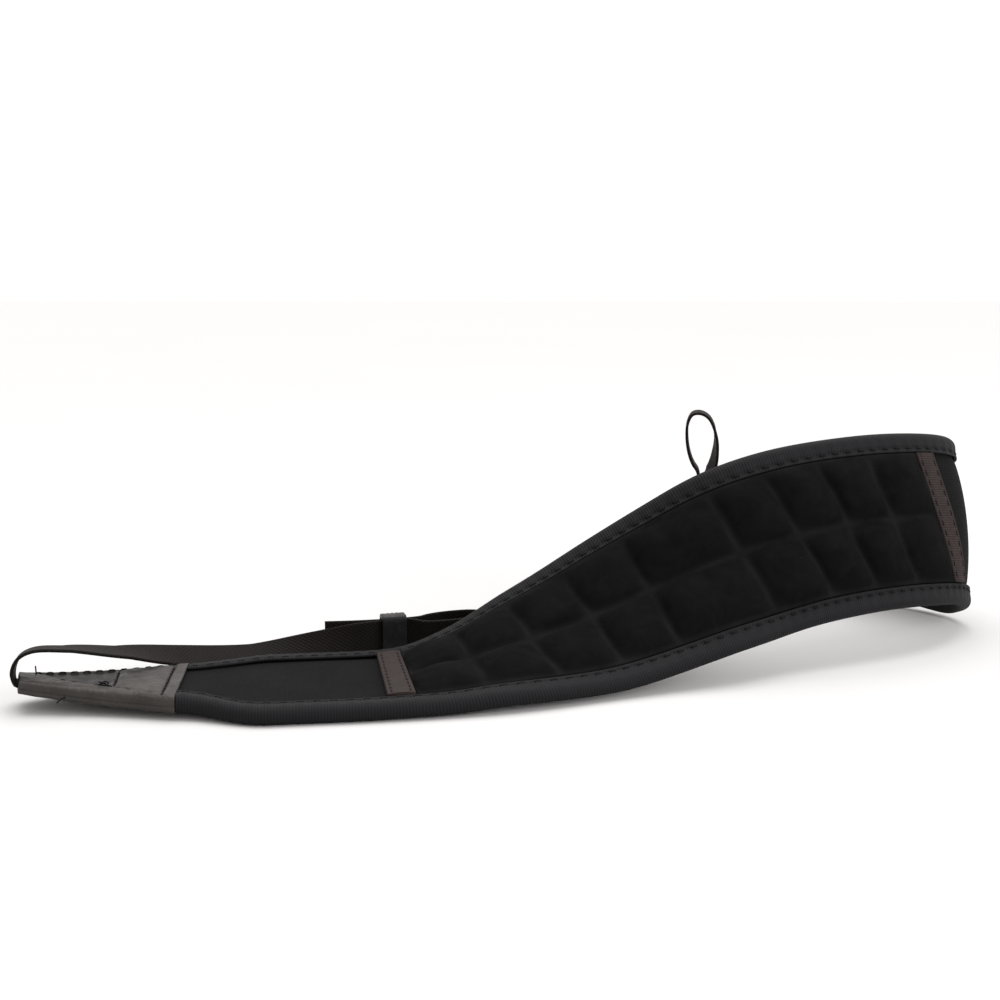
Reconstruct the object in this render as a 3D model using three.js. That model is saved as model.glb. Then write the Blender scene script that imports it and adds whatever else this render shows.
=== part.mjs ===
// Padded neck strap for a camera, lying on a table: a neoprene band with a quilted lining, knit edge
// bindings, tapered leather ends, and a thin webbing at each end that loops through the camera's lug.
// Millimetres, +Z up. Every piece is made flat, as it is cut and sewn, in its own flat frame
// (x along the strap, y across it, z out of the face that lies on the neck) and is then laid on a route.

import * as THREE from 'three';
import { mergeVertices } from 'three/addons/utils/BufferGeometryUtils.js';

// ---- driving sizes -------------------------------------------------------------------------------------

const GAP = 0.3; // left between pieces that touch on the real strap

const STRAP = { length: 416, width: 58, resting: 75 }; // tip to tip of the leather, over the bindings
const BAND = { thick: 2.9, cells: 62, cellsAcross: 6 }; // cells between the leather ends
const TONGUE = { cells: 3, tipWidth: 27, tipThick: 2.2 }; // the band's end inside the leather
const BINDING = { wall: 1.0, flap: 7, roundSteps: 4 };
const LEATHER = {
  length: 46, wall: 1.0, mouthWidth: 41, tipWidth: 14, mouthThick: 5.5, tipThick: 4, steps: 10,
};
// Where the band is open to see, between the leather ends.
const OPEN = { start: LEATHER.length + GAP, end: STRAP.length - LEATHER.length - GAP };
const CELL = (OPEN.end - OPEN.start) / BAND.cells;
const SHOULDER = 26; // the band widens from the leather's mouth to its full width over this length

const QUILT = {
  pitch: 20.2, centre: 30, sideBlocks: 4, rows: 2, // blocks: one wider in the middle, four each side
  wall: 1.0, puff: 3.4, fullness: 2.6, // a higher fullness makes the blocks boxier
  cells: 5, // along and across each block
};
const LINING = {
  half: QUILT.centre / 2 + QUILT.sideBlocks * QUILT.pitch - 1, // 1 mm of its end is under the ribbon
  width: STRAP.width - 2 * (BINDING.flap + GAP),
  skew: 11, // right of its middle its back edge is pulled this far behind its front edge
  skewFrom: 195,
  skewTo: 255,
  swell: 2.2, // and its seams bunch to the right by this much round about here
  swellAt: 233,
  swellWidth: 18,
  drift: 3, // while its right end is drawn back to the left
  driftFrom: 250,
  driftTo: 290,
};
const RIBBON = { width: 8, thick: 1.5 };

// inLeather: hidden length inside the leather. pastTip: how far it stays straight beyond the tip.
const WEBBING = { width: 10, thick: 1.0, inLeather: 14, pastTip: 0.9, steps: 84 };
const KEEPER = { length: 8, wall: 1.3 };
const LAYER_PITCH = WEBBING.thick + 0.5; // the two layers of webbing inside a keeper

// ---- the strap's route ---------------------------------------------------------------------------------
// A row for each station. along: distance from the left tip. turn: heading of the strap seen from above,
// 0 to the right and 90 away from the front. climb: its slope. lean: 0 where the neck face looks up and
// 90 where the strap stands on edge with that face to the front. All angles in degrees.

const STRAP_ROUTE = [
  { along: 0, turn: 18, climb: -10.5, lean: -5 },
  { along: 46, turn: 6, climb: -1, lean: -2.3 },
  { along: 58, turn: 6.5, climb: -4.3, lean: -0.7 },
  { along: 70, turn: 7, climb: 0, lean: 0 },
  { along: 92, turn: 8, climb: 0, lean: 0 },
  { along: 106, turn: 9, climb: 2, lean: 0 },
  { along: 130, turn: 14, climb: 13, lean: 5 },
  { along: 155, turn: 19, climb: 14, lean: 18 },
  { along: 180, turn: 14, climb: 22, lean: 34 },
  { along: 206, turn: 11, climb: 23, lean: 48 },
  { along: 232, turn: 18, climb: 14, lean: 63 },
  { along: 257, turn: 22, climb: 5, lean: 67 },
  { along: 282, turn: 27, climb: -1, lean: 69 },
  { along: 309, turn: 47, climb: -10, lean: 75 },
  { along: 325, turn: 74, climb: -20, lean: 82 },
  { along: 338, turn: 103, climb: -22, lean: 86 },
  { along: 351, turn: 132, climb: -19, lean: 90 },
  { along: 370, turn: 160, climb: -7, lean: 92 },
  { along: 416, turn: 180, climb: 0, lean: 90 },
];

// ---- the webbings' routes ------------------------------------------------------------------------------
// A row for each point of the run from the leather's tip to the keeper. x, y, z: the point, from the place
// where the strap rests. wx, wy, wz: the direction across the webbing there.

const LEFT_RUN = [
  { x: -75.1, y: -12, z: 11.2, wx: -0.22, wy: 0.97, wz: -0.12 },
  { x: -73.5, y: -11.3, z: 15, wx: -0.22, wy: 0.97, wz: -0.14 },
  { x: -69.8, y: -10.2, z: 16.9, wx: -0.22, wy: 1, wz: -0.15 },
  { x: -61, y: -7, z: 16.4, wx: -0.15, wy: 1, wz: -0.15 },
  { x: -48, y: 5, z: 12, wx: -0.3, wy: 1, wz: 0.02 },
  { x: -33, y: 24, z: 5.6, wx: -0.3, wy: 0.9, wz: 0.4 },
  { x: -14, y: 33, z: 3.3, wx: 0, wy: 0.9, wz: 0.42 },
  { x: 6, y: 38, z: 4.8, wx: 0, wy: 0.5, wz: 0.87 },
];
const LEFT_KEEPER = { x: 30, y: 46, z: 6.8, turn: 16, climb: 0, side: 1 };

const RIGHT_RUN = [
  { x: 151.5, y: 120.6, z: 20.9, wx: 0, wy: -0.25, wz: 0.97 },
  { x: 146.5, y: 119, z: 22, wx: -0.1, wy: -0.75, wz: 0.66 },
  { x: 142.2, y: 116.2, z: 25.8, wx: 0, wy: -0.97, wz: 0.2 },
];
const RIGHT_KEEPER = { x: 138.9, y: 113, z: 41.3, turn: 82, climb: 90, side: 1 };

// The loop through the lug, from the keeper's middle. out: along the keeper. aside: across it, towards the
// side where the webbing comes in. twist: how far the webbing is still turned there, in degrees.
const LUG_LOOP = [
  { out: 9.5, aside: 3.2, twist: 17 },
  { out: 12, aside: 4.2, twist: 15 },
  { out: 16, aside: 4.9, twist: 10 },
  { out: 21, aside: 5.1, twist: 4 },
  { out: 25.6, aside: 4.1, twist: 0 },
  { out: 29, aside: 2.2, twist: 0 },
  { out: 30.6, aside: -0.6, twist: 0 },
  { out: 30.2, aside: -3.6, twist: 0 },
  { out: 27, aside: -5.3, twist: 0 },
  { out: 21, aside: -5.5, twist: 0 },
  { out: 15.5, aside: -4.5, twist: 0 },
  { out: 12, aside: -3.1, twist: 0 },
  { out: 9.5, aside: -1.5, twist: 0 },
];
const TAIL = 22; // free end beyond the keeper's middle

const FINISH = {
  neoprene: { color: 0x1b1c1f, roughness: 0.9, metalness: 0 },
  lining: { color: 0x131314, roughness: 0.95, metalness: 0 },
  knit: { color: 0x222327, roughness: 0.85, metalness: 0 },
  ribbon: { color: 0x3a3231, roughness: 0.85, metalness: 0 },
  leather: { color: 0x3b3b3d, roughness: 0.55, metalness: 0 },
  webbing: { color: 0x232221, roughness: 0.8, metalness: 0 },
  plastic: { color: 0x161617, roughness: 0.45, metalness: 0 },
};

// ---- routes --------------------------------------------------------------------------------------------

// Value of a column at a distance along the table, by cubics that never overshoot the rows.
function smoothColumn(rows, column, along) {
  const slope = (i) => (rows[i + 1][column] - rows[i][column]) / (rows[i + 1].along - rows[i].along);
  const last = rows.length - 1;
  const tangent = (i) => {
    if (i === 0) return slope(0);
    if (i === last) return slope(last - 1);
    const product = slope(i - 1) * slope(i);
    return product > 0 ? (2 * product) / (slope(i - 1) + slope(i)) : 0;
  };
  let i = 0;
  while (i < last - 1 && along >= rows[i + 1].along) i += 1;
  const span = rows[i + 1].along - rows[i].along;
  const t = (along - rows[i].along) / span;
  const rise = t * t * (3 - 2 * t);
  return (
    rows[i][column] * (1 - rise) +
    rows[i + 1][column] * rise +
    tangent(i) * span * t * (1 - t) * (1 - t) -
    tangent(i + 1) * span * t * t * (1 - t)
  );
}

// Unit vectors along, across and out of the face of a strap with this heading, slope and lean.
function strapAxes(turn, climb, lean) {
  const [a, b, c] = [turn, climb, lean].map(THREE.MathUtils.degToRad);
  const along = new THREE.Vector3(Math.cos(b) * Math.cos(a), Math.cos(b) * Math.sin(a), Math.sin(b));
  const level = new THREE.Vector3(-Math.sin(a), Math.cos(a), 0);
  const upright = new THREE.Vector3().crossVectors(along, level);
  const across = level.multiplyScalar(Math.cos(c)).addScaledVector(upright, Math.sin(c));
  return { along, across, out: new THREE.Vector3().crossVectors(along, across) };
}

// The strap's middle surface: its line is the sum of 1 mm steps along each station's heading, moved so
// that it rests on the table at the resting station.
function makeStrapRoute() {
  const line = [new THREE.Vector3()];
  const angle = (column, along) => smoothColumn(STRAP_ROUTE, column, along);
  const axesAt = (along) => strapAxes(angle('turn', along), angle('climb', along), angle('lean', along));
  for (let along = 0; along < STRAP.length; along += 1) {
    line.push(line[along].clone().add(axesAt(along + 0.5).along));
  }
  const restingHeight = BAND.thick / 2 + GAP + BINDING.wall;
  const rest = line[STRAP.resting].clone().sub(new THREE.Vector3(0, 0, restingHeight));
  const pointAt = (along) => {
    const i = Math.min(Math.max(Math.floor(along), 0), STRAP.length - 1);
    return line[i].clone().lerp(line[i + 1], along - i).sub(rest);
  };
  return (along) => ({ point: pointAt(along), ...axesAt(THREE.MathUtils.clamp(along, 0, STRAP.length)) });
}
const strapRoute = makeStrapRoute();

// A smooth line through points, each with a direction across the webbing.
function makeWebbingRoute(rows) {
  const curve = new THREE.CatmullRomCurve3(rows.map((row) => row.point), false, 'centripetal');
  curve.arcLengthDivisions = 1200;
  const length = curve.getLength();
  const route = (distance) => {
    const u = THREE.MathUtils.clamp(distance / length, 0, 1);
    const t = curve.getUtoTmapping(u) * (rows.length - 1);
    const i = Math.min(Math.floor(t), rows.length - 2);
    const along = curve.getTangentAt(u);
    const across = rows[i].across.clone().lerp(rows[i + 1].across, t - i);
    across.addScaledVector(along, -across.dot(along)).normalize();
    const out = new THREE.Vector3().crossVectors(along, across);
    return { point: curve.getPointAt(u), along, across, out };
  };
  return { route, length };
}

// ---- flat pieces ---------------------------------------------------------------------------------------

// Moves a flat geometry's points on to a route.
function layOn(geometry, route) {
  geometry.deleteAttribute('normal');
  geometry.deleteAttribute('uv');
  const merged = mergeVertices(geometry, 1e-4);
  const place = merged.getAttribute('position');
  for (let i = 0; i < place.count; i += 1) {
    const { point, across, out } = route(place.getX(i));
    point.addScaledVector(across, place.getY(i)).addScaledVector(out, place.getZ(i));
    place.setXYZ(i, point.x, point.y, point.z);
  }
  merged.computeVertexNormals();
  return merged;
}

// A flat slab from start to end, as wide and thick as the functions say, about a height.
function slab(start, end, widthAt, thickAt, height, cellsAlong, cellsAcross) {
  const geometry = new THREE.BoxGeometry(end - start, 1, 1, cellsAlong, cellsAcross, 1);
  geometry.translate((start + end) / 2, 0, 0);
  const place = geometry.getAttribute('position');
  for (let i = 0; i < place.count; i += 1) {
    const along = place.getX(i);
    place.setY(i, place.getY(i) * widthAt(along));
    place.setZ(i, place.getZ(i) * thickAt(along) + height);
  }
  return geometry;
}

// A section drawn in (across, height) and drawn out from start to end, then changed by reshape.
function drawnOut(section, start, end, steps, reshape) {
  const geometry = new THREE.ExtrudeGeometry(section, { depth: end - start, steps, bevelEnabled: false });
  const place = geometry.getAttribute('position');
  for (let i = 0; i < place.count; i += 1) {
    const along = place.getZ(i) + start;
    const [across, height] = reshape(place.getX(i), place.getY(i), along);
    place.setXYZ(i, along, across, height);
  }
  return geometry;
}

const fromNearEnd = (along) => Math.min(along, STRAP.length - along);

// Width over the bindings: full, then an S-shaped shoulder down to the leather's mouth.
function strapWidth(along) {
  const rise = THREE.MathUtils.smoothstep(fromNearEnd(along), LEATHER.length, LEATHER.length + SHOULDER);
  return THREE.MathUtils.lerp(LEATHER.mouthWidth - 2 * GAP, STRAP.width, rise);
}

const BAND_FACE = BAND.thick / 2; // height of the neoprene's faces
const BINDING_EDGE = BINDING.wall + GAP; // from the binding's outer edge to the neoprene's edge

// Width and thickness of the neoprene, which runs on into the leather as a tapered tongue.
const intoTongue = (along) => Math.max(0, (OPEN.start - fromNearEnd(along)) / (TONGUE.cells * CELL));

function bandWidth(along) {
  const open = strapWidth(along) - 2 * BINDING_EDGE;
  return THREE.MathUtils.lerp(open, TONGUE.tipWidth, intoTongue(along));
}

function makeBand() {
  const start = OPEN.start - TONGUE.cells * CELL;
  const cells = BAND.cells + 2 * TONGUE.cells;
  const thickAt = (along) => THREE.MathUtils.lerp(BAND.thick, TONGUE.tipThick, intoTongue(along));
  return slab(start, STRAP.length - start, bandWidth, thickAt, 0, cells, BAND.cellsAcross);
}

// Where the lining's weave lies: the twist of the band skews it right of its middle and draws it along.
function skewed(along, across) {
  const part = THREE.MathUtils.smoothstep(along, LINING.skewFrom, LINING.skewTo);
  const swell = LINING.swell * Math.exp(-(((along - LINING.swellAt) / LINING.swellWidth) ** 2));
  const drift = LINING.drift * THREE.MathUtils.smoothstep(along, LINING.driftFrom, LINING.driftTo);
  return along + swell - drift - LINING.skew * part * (across / LINING.width);
}

// Quilted lining: blocks that puff up between their sewn channels. The box is drawn one unit to a block.
function makeQuilt() {
  const blocks = 2 * QUILT.sideBlocks + 1;
  const geometry = new THREE.BoxGeometry(
    blocks, LINING.width, QUILT.wall, blocks * QUILT.cells, QUILT.rows * QUILT.cells, 1,
  );
  const bulge = (part) => 1 - Math.abs(2 * part - 1) ** QUILT.fullness;
  // Distance from the strap's middle of a place so many blocks out: the middle block is wider.
  const fromMiddle = (out) =>
    out <= 0.5 ? out * QUILT.centre : QUILT.centre / 2 + (out - 0.5) * QUILT.pitch;
  const shorten = LINING.half / fromMiddle(blocks / 2);
  const height = BAND_FACE + GAP + QUILT.wall / 2;
  const place = geometry.getAttribute('position');
  for (let i = 0; i < place.count; i += 1) {
    const [block, across, side] = [place.getX(i), place.getY(i), place.getZ(i)];
    const row = (across / LINING.width + 0.5) * QUILT.rows;
    const lift = side > 0 ? QUILT.puff * bulge((block + blocks / 2) % 1) * bulge(row % 1) : 0;
    const along = STRAP.length / 2 + Math.sign(block) * fromMiddle(Math.abs(block)) * shorten;
    place.setXYZ(i, skewed(along, across), across, height + side + lift);
  }
  return geometry;
}

function makeRibbon(end) {
  const near = STRAP.length / 2 + end * (LINING.half + GAP);
  const [start, stop] = [near, near + end * RIBBON.width].sort((a, b) => a - b);
  const height = BAND_FACE + GAP + RIBBON.thick / 2;
  const geometry = slab(start, stop, () => LINING.width, () => RIBBON.thick, height, 2, BAND.cellsAcross);
  const place = geometry.getAttribute('position');
  for (let i = 0; i < place.count; i += 1) place.setX(i, skewed(place.getX(i), place.getY(i)));
  return geometry;
}

// Tape folded round the band's edge: a U-shaped section, open towards the band's middle.
function makeBinding(side) {
  const outer = BAND_FACE + GAP + BINDING.wall;
  const inner = BAND_FACE + GAP;
  const section = new THREE.Shape();
  section.moveTo(-BINDING.flap, -outer);
  section.lineTo(-outer, -outer);
  section.absarc(-outer, 0, outer, -Math.PI / 2, Math.PI / 2, false);
  section.lineTo(-BINDING.flap, outer);
  section.lineTo(-BINDING.flap, inner);
  section.lineTo(-BINDING.wall, inner);
  section.lineTo(-BINDING.wall, -inner);
  section.lineTo(-BINDING.flap, -inner);
  section.closePath();
  const outline = new THREE.Shape(section.getPoints(BINDING.roundSteps));
  const reshape = (x, y, along) => [side * (strapWidth(along) / 2 + x), y];
  const geometry = drawnOut(outline, OPEN.start, OPEN.end, BAND.cells, reshape);
  return side < 0 ? turnedInsideOut(geometry) : geometry;
}

// Turns the faces of a mirrored geometry outwards again.
function turnedInsideOut(geometry) {
  const place = geometry.getAttribute('position');
  for (let i = 0; i < place.count; i += 3) {
    const first = new THREE.Vector3().fromBufferAttribute(place, i);
    const third = new THREE.Vector3().fromBufferAttribute(place, i + 2);
    place.setXYZ(i, third.x, third.y, third.z);
    place.setXYZ(i + 2, first.x, first.y, first.z);
  }
  return geometry;
}

// Leather folded round the band's end: a flat sleeve that tapers to the webbing at its tip.
function makeLeather(end) {
  const ring = (corners) => corners.map(([x, y]) => new THREE.Vector2(x, y));
  const section = new THREE.Shape(ring([
    [-1, -0.6], [-0.92, -1], [0.92, -1], [1, -0.6], [1, 0.6], [0.92, 1], [-0.92, 1], [-1, 0.6],
  ]));
  const pocket = 0.5; // the pocket's corners in the unit section, moved to their place by reshape
  section.holes.push(new THREE.Path(ring([
    [-pocket, -pocket], [-pocket, pocket], [pocket, pocket], [pocket, -pocket],
  ])));
  const reshape = (x, y, along) => {
    const part = 1 - fromNearEnd(along) / LEATHER.length;
    const halfWidth = THREE.MathUtils.lerp(LEATHER.mouthWidth, LEATHER.tipWidth, part) / 2;
    const halfThick = THREE.MathUtils.lerp(LEATHER.mouthThick, LEATHER.tipThick, part) / 2;
    if (Math.abs(x) > pocket) return [x * halfWidth, y * halfThick];
    return [Math.sign(x) * (halfWidth - LEATHER.wall), Math.sign(y) * (halfThick - LEATHER.wall)];
  };
  const [start, stop] = end < 0 ? [0, LEATHER.length] : [STRAP.length - LEATHER.length, STRAP.length];
  return drawnOut(section, start, stop, LEATHER.steps, reshape);
}

// ---- webbings and keepers ------------------------------------------------------------------------------

function keeperAxes({ x, y, z, turn, climb, side }) {
  const { along, across, out } = strapAxes(turn, climb, 90);
  const centre = new THREE.Vector3(x, y, z);
  return { centre, along, across, aside: out.multiplyScalar(side) };
}

// Rows of the whole route: out of the leather, to the keeper, round the lug and back through the keeper.
function webbingRows(end, run, keeper) {
  const tip = end < 0 ? 0 : STRAP.length;
  const inside = strapRoute(tip - end * WEBBING.inLeather);
  const mouth = strapRoute(tip);
  const pastTip = mouth.point.clone().addScaledVector(mouth.along, end * WEBBING.pastTip);
  const past = { point: pastTip, across: mouth.across };
  const { centre, along, across, aside } = keeperAxes(keeper);
  const at = (out, q) => centre.clone().addScaledVector(along, out).addScaledVector(aside, q);
  const half = LAYER_PITCH / 2;
  const inKeeper = KEEPER.length / 2 + 1;
  const rows = [inside, mouth, past].map(({ point, across: wide }) => ({ point, across: wide }));
  for (const { x, y, z, wx, wy, wz } of run) {
    rows.push({ point: new THREE.Vector3(x, y, z), across: new THREE.Vector3(wx, wy, wz).normalize() });
  }
  const straight = (out, q) => ({ point: at(out, q), across });
  const loop = LUG_LOOP.map(({ out, aside: q, twist }) => {
    const turned = across.clone().applyAxisAngle(along, keeper.side * THREE.MathUtils.degToRad(twist));
    return { point: at(out, q), across: turned };
  });
  return [
    ...rows, straight(-inKeeper - 5, half + 1), straight(-inKeeper, half), straight(inKeeper, half),
    ...loop, straight(inKeeper, -half), straight(-inKeeper, -half),
    straight(-TAIL / 2 - inKeeper / 2, -half - 0.8), straight(-TAIL, -half - 2.2), // the tail eases off
  ];
}

function makeWebbing(end, run, keeper) {
  const { route, length } = makeWebbingRoute(webbingRows(end, run, keeper));
  const geometry = slab(0, length, () => WEBBING.width, () => WEBBING.thick, 0, WEBBING.steps, 1);
  return layOn(geometry, route);
}

// A plain closed keeper round both layers of the webbing.
function makeKeeper(keeper) {
  const { centre, along, across, aside } = keeperAxes(keeper);
  const ring = (wide, thick) => [[-wide, -thick], [wide, -thick], [wide, thick], [-wide, thick]]
    .map(([x, y]) => new THREE.Vector2(x / 2, y / 2));
  const holeWide = WEBBING.width + 2 * GAP;
  const holeThick = LAYER_PITCH + WEBBING.thick + 2 * GAP;
  const section = new THREE.Shape(ring(holeWide + 2 * KEEPER.wall, holeThick + 2 * KEEPER.wall));
  section.holes.push(new THREE.Path(ring(holeWide, holeThick).reverse()));
  const half = KEEPER.length / 2;
  const geometry = drawnOut(section, -half, half, 1, (x, y) => [x, y]);
  const side = new THREE.Vector3().crossVectors(along, across);
  const route = (distance) => ({ point: centre.clone().addScaledVector(along, distance), across, out: side });
  return layOn(geometry, route);
}

// ---- assembly ------------------------------------------------------------------------------------------

const group = new THREE.Group();

function add(name, finish, geometry) {
  const mesh = new THREE.Mesh(geometry, new THREE.MeshStandardMaterial(FINISH[finish]));
  mesh.name = name;
  group.add(mesh);
}

add('neck_band', 'neoprene', layOn(makeBand(), strapRoute));
add('quilted_pad', 'lining', layOn(makeQuilt(), strapRoute));
add('binding_front', 'knit', layOn(makeBinding(-1), strapRoute));
add('binding_back', 'knit', layOn(makeBinding(1), strapRoute));
add('ribbon_left', 'ribbon', layOn(makeRibbon(-1), strapRoute));
add('ribbon_right', 'ribbon', layOn(makeRibbon(1), strapRoute));
add('leather_end_left', 'leather', layOn(makeLeather(-1), strapRoute));
add('leather_end_right', 'leather', layOn(makeLeather(1), strapRoute));
add('webbing_left', 'webbing', makeWebbing(-1, LEFT_RUN, LEFT_KEEPER));
add('webbing_right', 'webbing', makeWebbing(1, RIGHT_RUN, RIGHT_KEEPER));
add('slider_left', 'plastic', makeKeeper(LEFT_KEEPER));
add('slider_right', 'plastic', makeKeeper(RIGHT_KEEPER));

// The origin is the middle of the strap's footprint, on the table.
const box = new THREE.Box3().setFromObject(group, true);
const middle = box.getCenter(new THREE.Vector3());
group.position.set(-middle.x, -middle.y, 0);

export default group;
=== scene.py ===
import math

import bpy
import numpy as np
from bpy.props import FloatProperty, FloatVectorProperty, IntProperty, PointerProperty
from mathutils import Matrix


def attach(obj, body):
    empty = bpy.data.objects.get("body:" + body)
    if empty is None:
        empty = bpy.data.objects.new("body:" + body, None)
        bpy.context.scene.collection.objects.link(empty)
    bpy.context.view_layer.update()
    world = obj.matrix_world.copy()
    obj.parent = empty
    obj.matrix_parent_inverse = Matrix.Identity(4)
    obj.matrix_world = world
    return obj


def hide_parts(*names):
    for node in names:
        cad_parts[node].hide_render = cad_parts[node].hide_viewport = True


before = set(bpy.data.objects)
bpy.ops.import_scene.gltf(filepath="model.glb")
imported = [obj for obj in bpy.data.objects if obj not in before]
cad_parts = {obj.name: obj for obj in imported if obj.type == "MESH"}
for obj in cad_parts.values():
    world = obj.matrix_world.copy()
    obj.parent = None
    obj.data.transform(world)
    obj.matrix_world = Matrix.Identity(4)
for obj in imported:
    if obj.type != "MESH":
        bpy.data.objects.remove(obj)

bl_info = {
    "name": "Camera neck strap",
    "version": (1, 0, 0),
    "blender": (4, 5, 0),
    "location": "View3D > Sidebar > Strap",
    "description": "Builds the finished pieces of a padded camera neck strap on its frame",
    "category": "Object",
}

# Lengths in the design are millimetres, as a maker states them. The meshes are in metres.
# Each piece is made flat, as it is cut and sewn (along the strap, across it, out of its neck face),
# and is then laid on the strap's route.

GAP = 0.3             # air left between pieces that touch
STRAP_LENGTH = 416.0  # tip to tip of the leather ends
RESTING = 75.0        # the strap lies flat on the table here
FRAME_PLACE = (-76.438, -46.809)   # where that resting place is in the frame, in plan
LEATHER_LENGTH = 46.0
MOUTH_WIDTH, TIP_WIDTH = 41.0, 14.0
MOUTH_THICK, TIP_THICK = 5.5, 4.0
LEATHER_WALL = 1.0
TIP_GROOVE, MOUTH_GROOVE = 27.2, 42.3  # two sewn grooves across the leather, from its tip
SHOULDER = 26.0       # the band widens to its full width over this length
BINDING_WALL = 1.0
QUILT_PITCH, QUILT_CENTRE, SIDE_BLOCKS = 20.2, 30.0, 4
LINING_HALF = QUILT_CENTRE / 2 + SIDE_BLOCKS * QUILT_PITCH - 1
LINING_SKEW, LINING_SWELL, LINING_DRIFT = 11.0, 2.2, 3.0
RIBBON_WIDTH, RIBBON_THICK = 8.0, 1.5
WEBBING_WIDTH, WEBBING_THICK = 10.0, 1.0
KEEPER_LENGTH, KEEPER_WALL = 8.0, 1.3
LAYER_PITCH = WEBBING_THICK + 0.5  # the two layers of webbing inside a keeper

# distance along the strap in mm, then its heading seen from above, its slope and its lean in degrees:
# a lean of 0 has the neck face up, 90 stands the strap on edge with that face to the front
STRAP_ROUTE = np.array([
    (0, 18, -10.5, -5), (46, 6, -1, -2.3), (58, 6.5, -4.3, -0.7), (70, 7, 0, 0), (92, 8, 0, 0),
    (106, 9, 2, 0), (130, 14, 13, 5), (155, 19, 14, 18), (180, 14, 22, 34), (206, 11, 23, 48),
    (232, 18, 14, 63), (257, 22, 5, 67),
    (282, 27, -1, 69), (309, 47, -10, 75), (325, 74, -20, 82), (338, 103, -22, 86),
    (351, 132, -19, 90), (370, 160, -7, 92), (416, 180, 0, 90),
], float)

# points of the webbing from the leather's tip to its keeper, and the direction across the webbing
LEFT_RUN = np.array([
    (-75.1, -12, 11.2, -0.22, 0.97, -0.12), (-73.5, -11.3, 15, -0.22, 0.97, -0.14),
    (-69.8, -10.2, 16.9, -0.22, 1, -0.15), (-61, -7, 16.4, -0.15, 1, -0.15),
    (-48, 5, 12, -0.3, 1, 0.02), (-33, 24, 5.6, -0.3, 0.9, 0.4),
    (-14, 33, 3.3, 0, 0.9, 0.42), (6, 38, 4.8, 0, 0.5, 0.87),
], float)
RIGHT_RUN = np.array([
    (151.5, 120.6, 20.9, 0, -0.25, 0.97), (146.5, 119, 22, -0.1, -0.75, 0.66),
    (142.2, 116.2, 25.8, 0, -0.97, 0.2),
], float)
LEFT_KEEPER = {"centre": (30, 46, 6.8), "turn": 16, "climb": 0, "side": 1}
RIGHT_KEEPER = {"centre": (138.9, 113, 41.3), "turn": 82, "climb": 90, "side": 1}
# the loop through a camera's lug: out along the keeper, aside across it, twist in degrees
LUG_LOOP = np.array([
    (9.5, 3.2, 17), (12, 4.2, 15), (16, 4.9, 10), (21, 5.1, 4), (25.6, 4.1, 0), (29, 2.2, 0),
    (30.6, -0.6, 0), (30.2, -3.6, 0), (27, -5.3, 0), (21, -5.5, 0), (15.5, -4.5, 0),
    (12, -3.1, 0), (9.5, -1.5, 0),
], float)
TAIL = 22.0


def linear(hex_colour):
    """An sRGB hex colour as linear red, green and blue."""
    parts = [int(hex_colour[i:i + 2], 16) / 255 for i in (0, 2, 4)]
    return tuple(p / 12.92 if p <= 0.04045 else ((p + 0.055) / 1.055) ** 2.4 for p in parts)


# ---- the user's sizes and colours ---------------------------------------------------------------


def length_setting(name, description, millimetres):
    """A length that a user may change, kept in metres and shown in the scene's units."""
    return FloatProperty(name=name, description=description, default=millimetres / 1000,
                         min=0.0, unit="LENGTH", subtype="DISTANCE", precision=5)


def colour_setting(name, description, hex_colour):
    """A colour that a user may change."""
    return FloatVectorProperty(name=name, description=description, default=linear(hex_colour),
                               size=3, min=0.0, max=1.0, subtype="COLOR")


class StrapSizes(bpy.types.PropertyGroup):
    """Sizes of the strap that a user would change."""

    width: length_setting("Width", "Width of the strap over its bindings", 58)
    band_thick: length_setting("Neoprene", "Thickness of the neoprene band", 2.9)
    flap: length_setting("Binding flap", "How far the binding reaches over the band", 7)
    rib_pitch: length_setting("Rib pitch", "Distance between the ribs of the binding's knit", 0.85)
    stitch_pitch: length_setting("Stitch pitch", "Distance between stitches on the bindings", 4.6)
    stitch_length: length_setting("Stitch length", "Length of thread that shows of a stitch", 2.4)
    puff: length_setting("Puff", "How high the quilted blocks stand above their seams", 3.6)
    fullness: FloatProperty(name="Fullness", default=0.06, min=0.0, max=0.3, subtype="FACTOR",
                            description="How much larger the lining is cut than its blocks")
    cloth_frames: IntProperty(name="Frames", default=20, min=2, max=60,
                              description="Frames for which the lining's cloth is simulated")


class StrapColours(bpy.types.PropertyGroup):
    """Colours of the strap's materials."""

    neoprene: colour_setting("Neoprene", "Knit face of the band", "0e0e0f")
    lining: colour_setting("Lining", "Suede-like lining", "0c0c0c")
    knit: colour_setting("Binding", "Ribbed knit tape", "111113")
    ribbon: colour_setting("Ribbon", "Grosgrain tape", "261f1d")
    leather: colour_setting("Leather", "Coated leather ends", "322f2d")
    webbing: colour_setting("Webbing", "Woven nylon", "0f0c0a")
    plastic: colour_setting("Keepers", "Moulded keepers", "0e0e0f")
    thread: colour_setting("Thread", "Sewing thread", "070708")
    floor: colour_setting("Floor", "Table top", "bcbcbc")


# ---- routes -------------------------------------------------------------------------------------


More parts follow.
